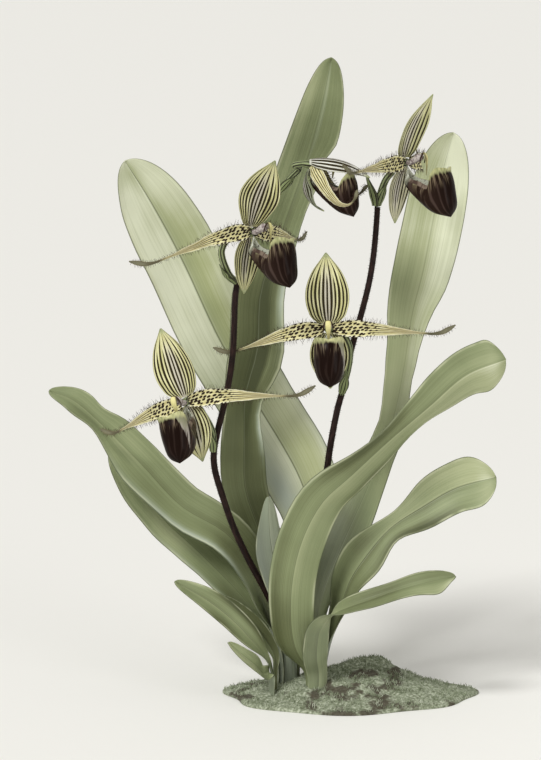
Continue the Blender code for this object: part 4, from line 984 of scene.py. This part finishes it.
def pouch_finish():
    """Glossy maroon with fainter wavy lines, a pale streaked rim, a painted sheen (a pale strip of painted
    reflection at one side) and a veined claw.
    """
    pouch = Finish("pouch_outside", 0.34, gloss=0.06)
    x, y = pouch.across, pouch.up
    front = abs(x - 0.5) * 2
    streaks = pouch.grain(30, 1.6)
    fine = pouch.grain(90, 3.0, 1.0)
    bands = pouch.node(
        "TexWave", {"wave_type": "BANDS", "bands_direction": "X"},
        {"Vector": pouch.node("CombineXYZ", {}, {"X": x * 5, "Y": y * 1.3}),
         "Scale": 1.0, "Distortion": 8.0, "Detail": 1.0, "Detail Scale": 0.9}, 1)
    ragged = (streaks - 0.45) * 0.2 + (fine - 0.5) * 0.06
    rim = (0.03 + front.rise(0.25, 0.7) * 0.02 + ragged - y).rise(-0.07, 0.03)
    runs = (streaks * 0.5 + fine * 0.5).rise(0.49, 0.58) * y.fall(0.08, 0.42) * front.rise(0.1, 0.4)
    # painted sheen: a pale strip of painted reflection right of the front, narrowing from the rim partway down
    painted_sheen = (0.075 - abs(x - 0.115 - y * 0.12) - y * 0.11 + (streaks - 0.5) * 0.06).rise(0.0, 0.01)
    claw = front.fall(0.13, 0.19) * (0.16 + front * 0.5 - y).rise(-0.01, 0.02)
    fold = front.fall(0.42, 0.52) * (0.11 - y).rise(-0.02, 0.02)
    lines = bands.rise(0.55, 1.0) * streaks.rise(0.32, 0.55) * (1 - front.rise(0.55, 0.85) * 0.8)
    # the painted sheen's colour: olive grey near the rim, mauve grey lower down; dark strokes cut its lower end
    light = pouch.blend(y.rise(0.1, 0.4) * streaks.rise(0.3, 0.6), (0.27, 0.27, 0.17), (0.42, 0.38, 0.34))
    shade = streaks.rise(0.35, 0.65) * 0.5 + x.rise(0.6, 0.8) * 0.25
    return pouch.paint(pouch.layers(
        (0.019, 0.0095, 0.0065), (front.rise(0.5, 0.85), (0.0085, 0.0034, 0.002)),
        (lines, (0.056, 0.036, 0.029)), (runs * 0.7, (0.24, 0.185, 0.115)), (painted_sheen * 0.9, light),
        (painted_sheen * fine.rise(0.5, 0.58) * y.rise(0.25, 0.45), (0.02, 0.01, 0.007)),
        (rim, pouch.blend(shade, (0.6, 0.59, 0.31), (0.17, 0.19, 0.08))),
        (fold, pouch.blend(streaks.rise(0.36, 0.62), (0.22, 0.17, 0.13), (0.07, 0.045, 0.035))),
        (claw, pouch.blend(streaks.rise(0.35, 0.6), (0.7, 0.71, 0.62), (0.3, 0.31, 0.23)))),
        streaks * 0.5 + bands * 0.5)


pouch_outside = pouch_finish()
pouch_inside = Finish("pouch_inside", 0.5, gloss=0.2)
inside_dots = pouch_inside.grain(60, 14).rise(0.55, 0.66)
pouch_inside.paint(pouch_inside.layers(
    (0.6, 0.62, 0.5), (pouch_inside.up.rise(0.1, 0.36), (0.2, 0.13, 0.1)),
    (inside_dots * 0.75, (0.06, 0.03, 0.02))), pouch_inside.grain(40, 6))

rings = [[Vector((side, -forward, -below)) for side, forward, below in ring] for ring in POUCH_RINGS]
for name, flower in FLOWERS.items():
    place = placer(flower)

    def pouch_point(row, across):
        turn = 2 * across
        mirror = -1 if turn > 1 else 1
        turn = 2 - turn if turn > 1 else turn
        point = along([along(ring, turn) for ring in rings] + [POUCH_TOE], row / POUCH_ROWS)
        edge = max(1 - row / RIM_ROWS, 0) ** 2 * (1 - ease((turn - 0.3) / 0.15))
        lobes = LOBE_HEIGHT * sin(pi * min(turn / 0.34, 1)) + 0.2 * sin(turn * 33)
        out = Vector((point.x, point.y - POUCH_CENTRE, 0)).normalized() * RIM_FLARE
        point = point + (out + Vector((0, 0, lobes))) * edge
        return place(Vector((point.x * mirror, point.y, point.z)))

    pouch = laid_grid(f"{name}_pouch_cup", POUCH_ROWS, 56, pouch_point, (pouch_outside, pouch_inside))
    weld()
    bpy.ops.mesh.flip_normals()
    bpy.ops.object.mode_set(mode="OBJECT")
    give_wall(pouch, POUCH_WALL)
    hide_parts(f"{name}_pouch")
    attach(pouch, "root")


# Columns
# In the heart of each flower a downy mauve-grey column carries a narrow yellow tongue, which hangs into the
# mouth of the pouch, under a thin dark arch. The column and arch are rods and the tongue a flattened one.
COLUMN_LINE = [(0, -2.85, 0), (0, -6, 0.3), (0, -10, 2.6), (0, -15, 5.2), (0, -19, 6.2)]
COLUMN_RADII = [2.6, 2.6, 3.0, 3.8, 2.4]
TONGUE_LINE = [(0, -19.0, 8.8), (0, -21.4, 9.4), (0, -23.4, 5.4), (0, -23.9, 0.5), (0, -24, -5), (0, -24.1, -10.5)]
TONGUE_RADII = [0.8, 2.6, 3.1, 2.1, 1.2, 0.5]
ARCH_LINE = [(-4.2, -18.6, 0.5), (-4.3, -19.4, 4.5), (-3.1, -20.0, 8.4), (0, -20.2, 10.2), (3.1, -20.0, 8.4),
             (4.3, -19.4, 4.5), (4.2, -18.6, 0.5)]
ARCH_RADII = [0.5, 0.65, 0.75, 0.8, 0.75, 0.65, 0.5]

column_skin = Finish("column_skin", 0.6, gloss=0.15)
column_skin.paint(
    column_skin.blend(column_skin.cloud(420, 3.0).rise(0.4, 0.62), (0.56, 0.51, 0.48), (0.24, 0.19, 0.19)),
    column_skin.grain(20, 12))
tongue_skin = Finish("tongue_skin", 0.45)
side = abs((tongue_skin.across * 2) % 1.0 - 0.5)
# painted shadow: dark patches either side of the tongue's upper part, under the column
gap_shadow = side.rise(0.24, 0.31) * tongue_skin.up.fall(0.42, 0.6)
tongue_skin.paint(tongue_skin.layers(
    (0.6, 0.53, 0.18), (tongue_skin.grain(14, 3), (0.82, 0.78, 0.4)),
    (tongue_skin.up.rise(0.45, 0.8) * 0.75, (0.28, 0.24, 0.09)), (gap_shadow * 0.6, (0.075, 0.05, 0.035)),
    (side.rise(0.4, 0.46) * 0.85, (0.05, 0.04, 0.018))), tongue_skin.grain(20, 12))

for name, flower in FLOWERS.items():
    place = placer(flower)
    parts = []
    for label, guide, wide, rows, sides, flat, skins in (
            ("rod", COLUMN_LINE, COLUMN_RADII, 30, 20, 1.0, (column_skin, hair_skin)),
            ("tongue", TONGUE_LINE, TONGUE_RADII, 34, 20, 0.42, (tongue_skin,)),
            ("arch", ARCH_LINE, ARCH_RADII, 30, 8, 1.0, (hair_skin,))):
        guide = [Vector((px, py, pz * flower.get("rise", 1) if pz > 0 else pz)) for px, py, pz in guide]
        centres = [place(point) for point in stations(guide, rows)]
        radii = [radius * flower.get("size", 1.0) for radius in stations(wide, rows)]
        rod, frames = laid_rod(f"{name}_column_{label}", centres, radii, sides, skins, 60,
                               lambda row, turn: (1, flat))
        if label == "rod":
            add_hairs(rod, down(frames, radii, seed=5, spacing=3.0, length=0.9, radius=0.09, first=0.3), 1)
        parts.append(rod)
    bpy.ops.object.select_all(action="DESELECT")
    for part in parts:
        part.select_set(True)
    column = parts[0]
    bpy.context.view_layer.objects.active = column
    bpy.ops.object.join()
    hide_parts(f"{name}_column")
    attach(column, "root")


# Mound
# A low mound of bark compost under soft grey-green moss, thin at its edge. It is a round grid raised to the
# height of the soil, roughened, with short moss shoots all over it.
MOUND_HEIGHT = 17.0
MOUND_CENTRE = (42.0, 8.0)
MOUND_REACH = (120.0, 70.0)
MOUND_EDGE = 1.6
MOUND_RINGS = 47
SHOOTS = 7000


def soil_height(x, y):
    """The dome of the mound, with a bank at its back, lumps and a rough skin."""
    u, v = (x - MOUND_CENTRE[0]) / MOUND_REACH[0], (y - MOUND_CENTRE[1]) / MOUND_REACH[1]
    reach = sqrt(u * u + v * v)
    dome = MOUND_HEIGHT * (1 - ease(reach)) ** 0.6
    bank = 17 * exp(-(((x - 66) / 38) ** 2) - ((y - 40) / 20) ** 2)
    lumps = 1.6 * sin(x / 8.7 + 1.3 * sin(y / 13)) * cos(y / 7.9 + 0.8 * sin(x / 11))
    rough = noise.noise(Vector((x, y, 0)) / 6.5) * 1.6 + noise.noise(Vector((x, y, 9)) / 2.4) * 0.7
    return 3.0 + dome + (bank + lumps) * ease((1.02 - reach) / 0.5) + rough * ease((1.0 - reach) / 0.12)


def soil_point(turn, reach):
    """The point of the soil at a turn, and at reach, from 0 to 1, of the way to the wavy edge."""
    edge = 1 + 0.05 * sin(3 * turn + 0.6) + 0.035 * sin(7 * turn)
    x = MOUND_CENTRE[0] + MOUND_REACH[0] * reach * edge * cos(turn)
    y = MOUND_CENTRE[1] + MOUND_REACH[1] * reach * edge * sin(turn)
    return Vector((x, y, max(soil_height(x, y), MOUND_EDGE)))


moss_skin = Finish("moss", 0.95)
patch = moss_skin.cloud(38, 4.0)
green = moss_skin.ramp(moss_skin.cloud(420, 3.0), [(0.3, (0.12, 0.135, 0.08)), (0.5, (0.26, 0.29, 0.2)),
                                                   (0.7, (0.5, 0.53, 0.41))])
brown = moss_skin.blend(moss_skin.cloud(240, 3.0), (0.022, 0.016, 0.011), (0.085, 0.062, 0.042))
moss_skin.paint(moss_skin.blend(patch.rise(0.53, 0.62) * 0.85, green, brown), moss_skin.cloud(500, 4.0), 1.2)
shoot_skin = Finish("moss_shoots", 0.9)
shoot_skin.paint(shoot_skin.ramp(shoot_skin.cloud(110, 3.0), [(0.32, (0.15, 0.17, 0.1)), (0.5, (0.29, 0.33, 0.22)),
                                                              (0.68, (0.56, 0.59, 0.47))]))


def mound_point(row, across):
    turn = 2 * pi * across
    if row == 0:
        return Vector((*MOUND_CENTRE, soil_height(*MOUND_CENTRE)))
    if row < MOUND_RINGS:
        return soil_point(turn, row / MOUND_RINGS)
    rim = soil_point(turn, 1.0)
    return Vector((rim.x, rim.y, MOUND_EDGE if row == MOUND_RINGS else 0.0))


mound = laid_grid("mossy_mound", MOUND_RINGS + 1, 180, mound_point, (moss_skin, shoot_skin))
close_ends(60)
chance = random.Random(3)
shoots = []
for _ in range(SHOOTS):
    root = soil_point(chance.uniform(0, 2 * pi), sqrt(chance.random()) * 0.99)
    if noise.noise(Vector((root.x, root.y, 4)) / 16) < -0.12:
        continue
    reach = chance.uniform(1.6, 3.6)
    way = Vector((chance.uniform(-0.6, 0.6), chance.uniform(-0.6, 0.6), 1))
    root = root - Vector((0, 0, 0.4))
    shoots.append((root, root + way * reach * 0.55, root + way * reach, chance.uniform(0.3, 0.55)))
add_hairs(mound, shoots, 1)
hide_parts("soil_mound")
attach(mound, "root")
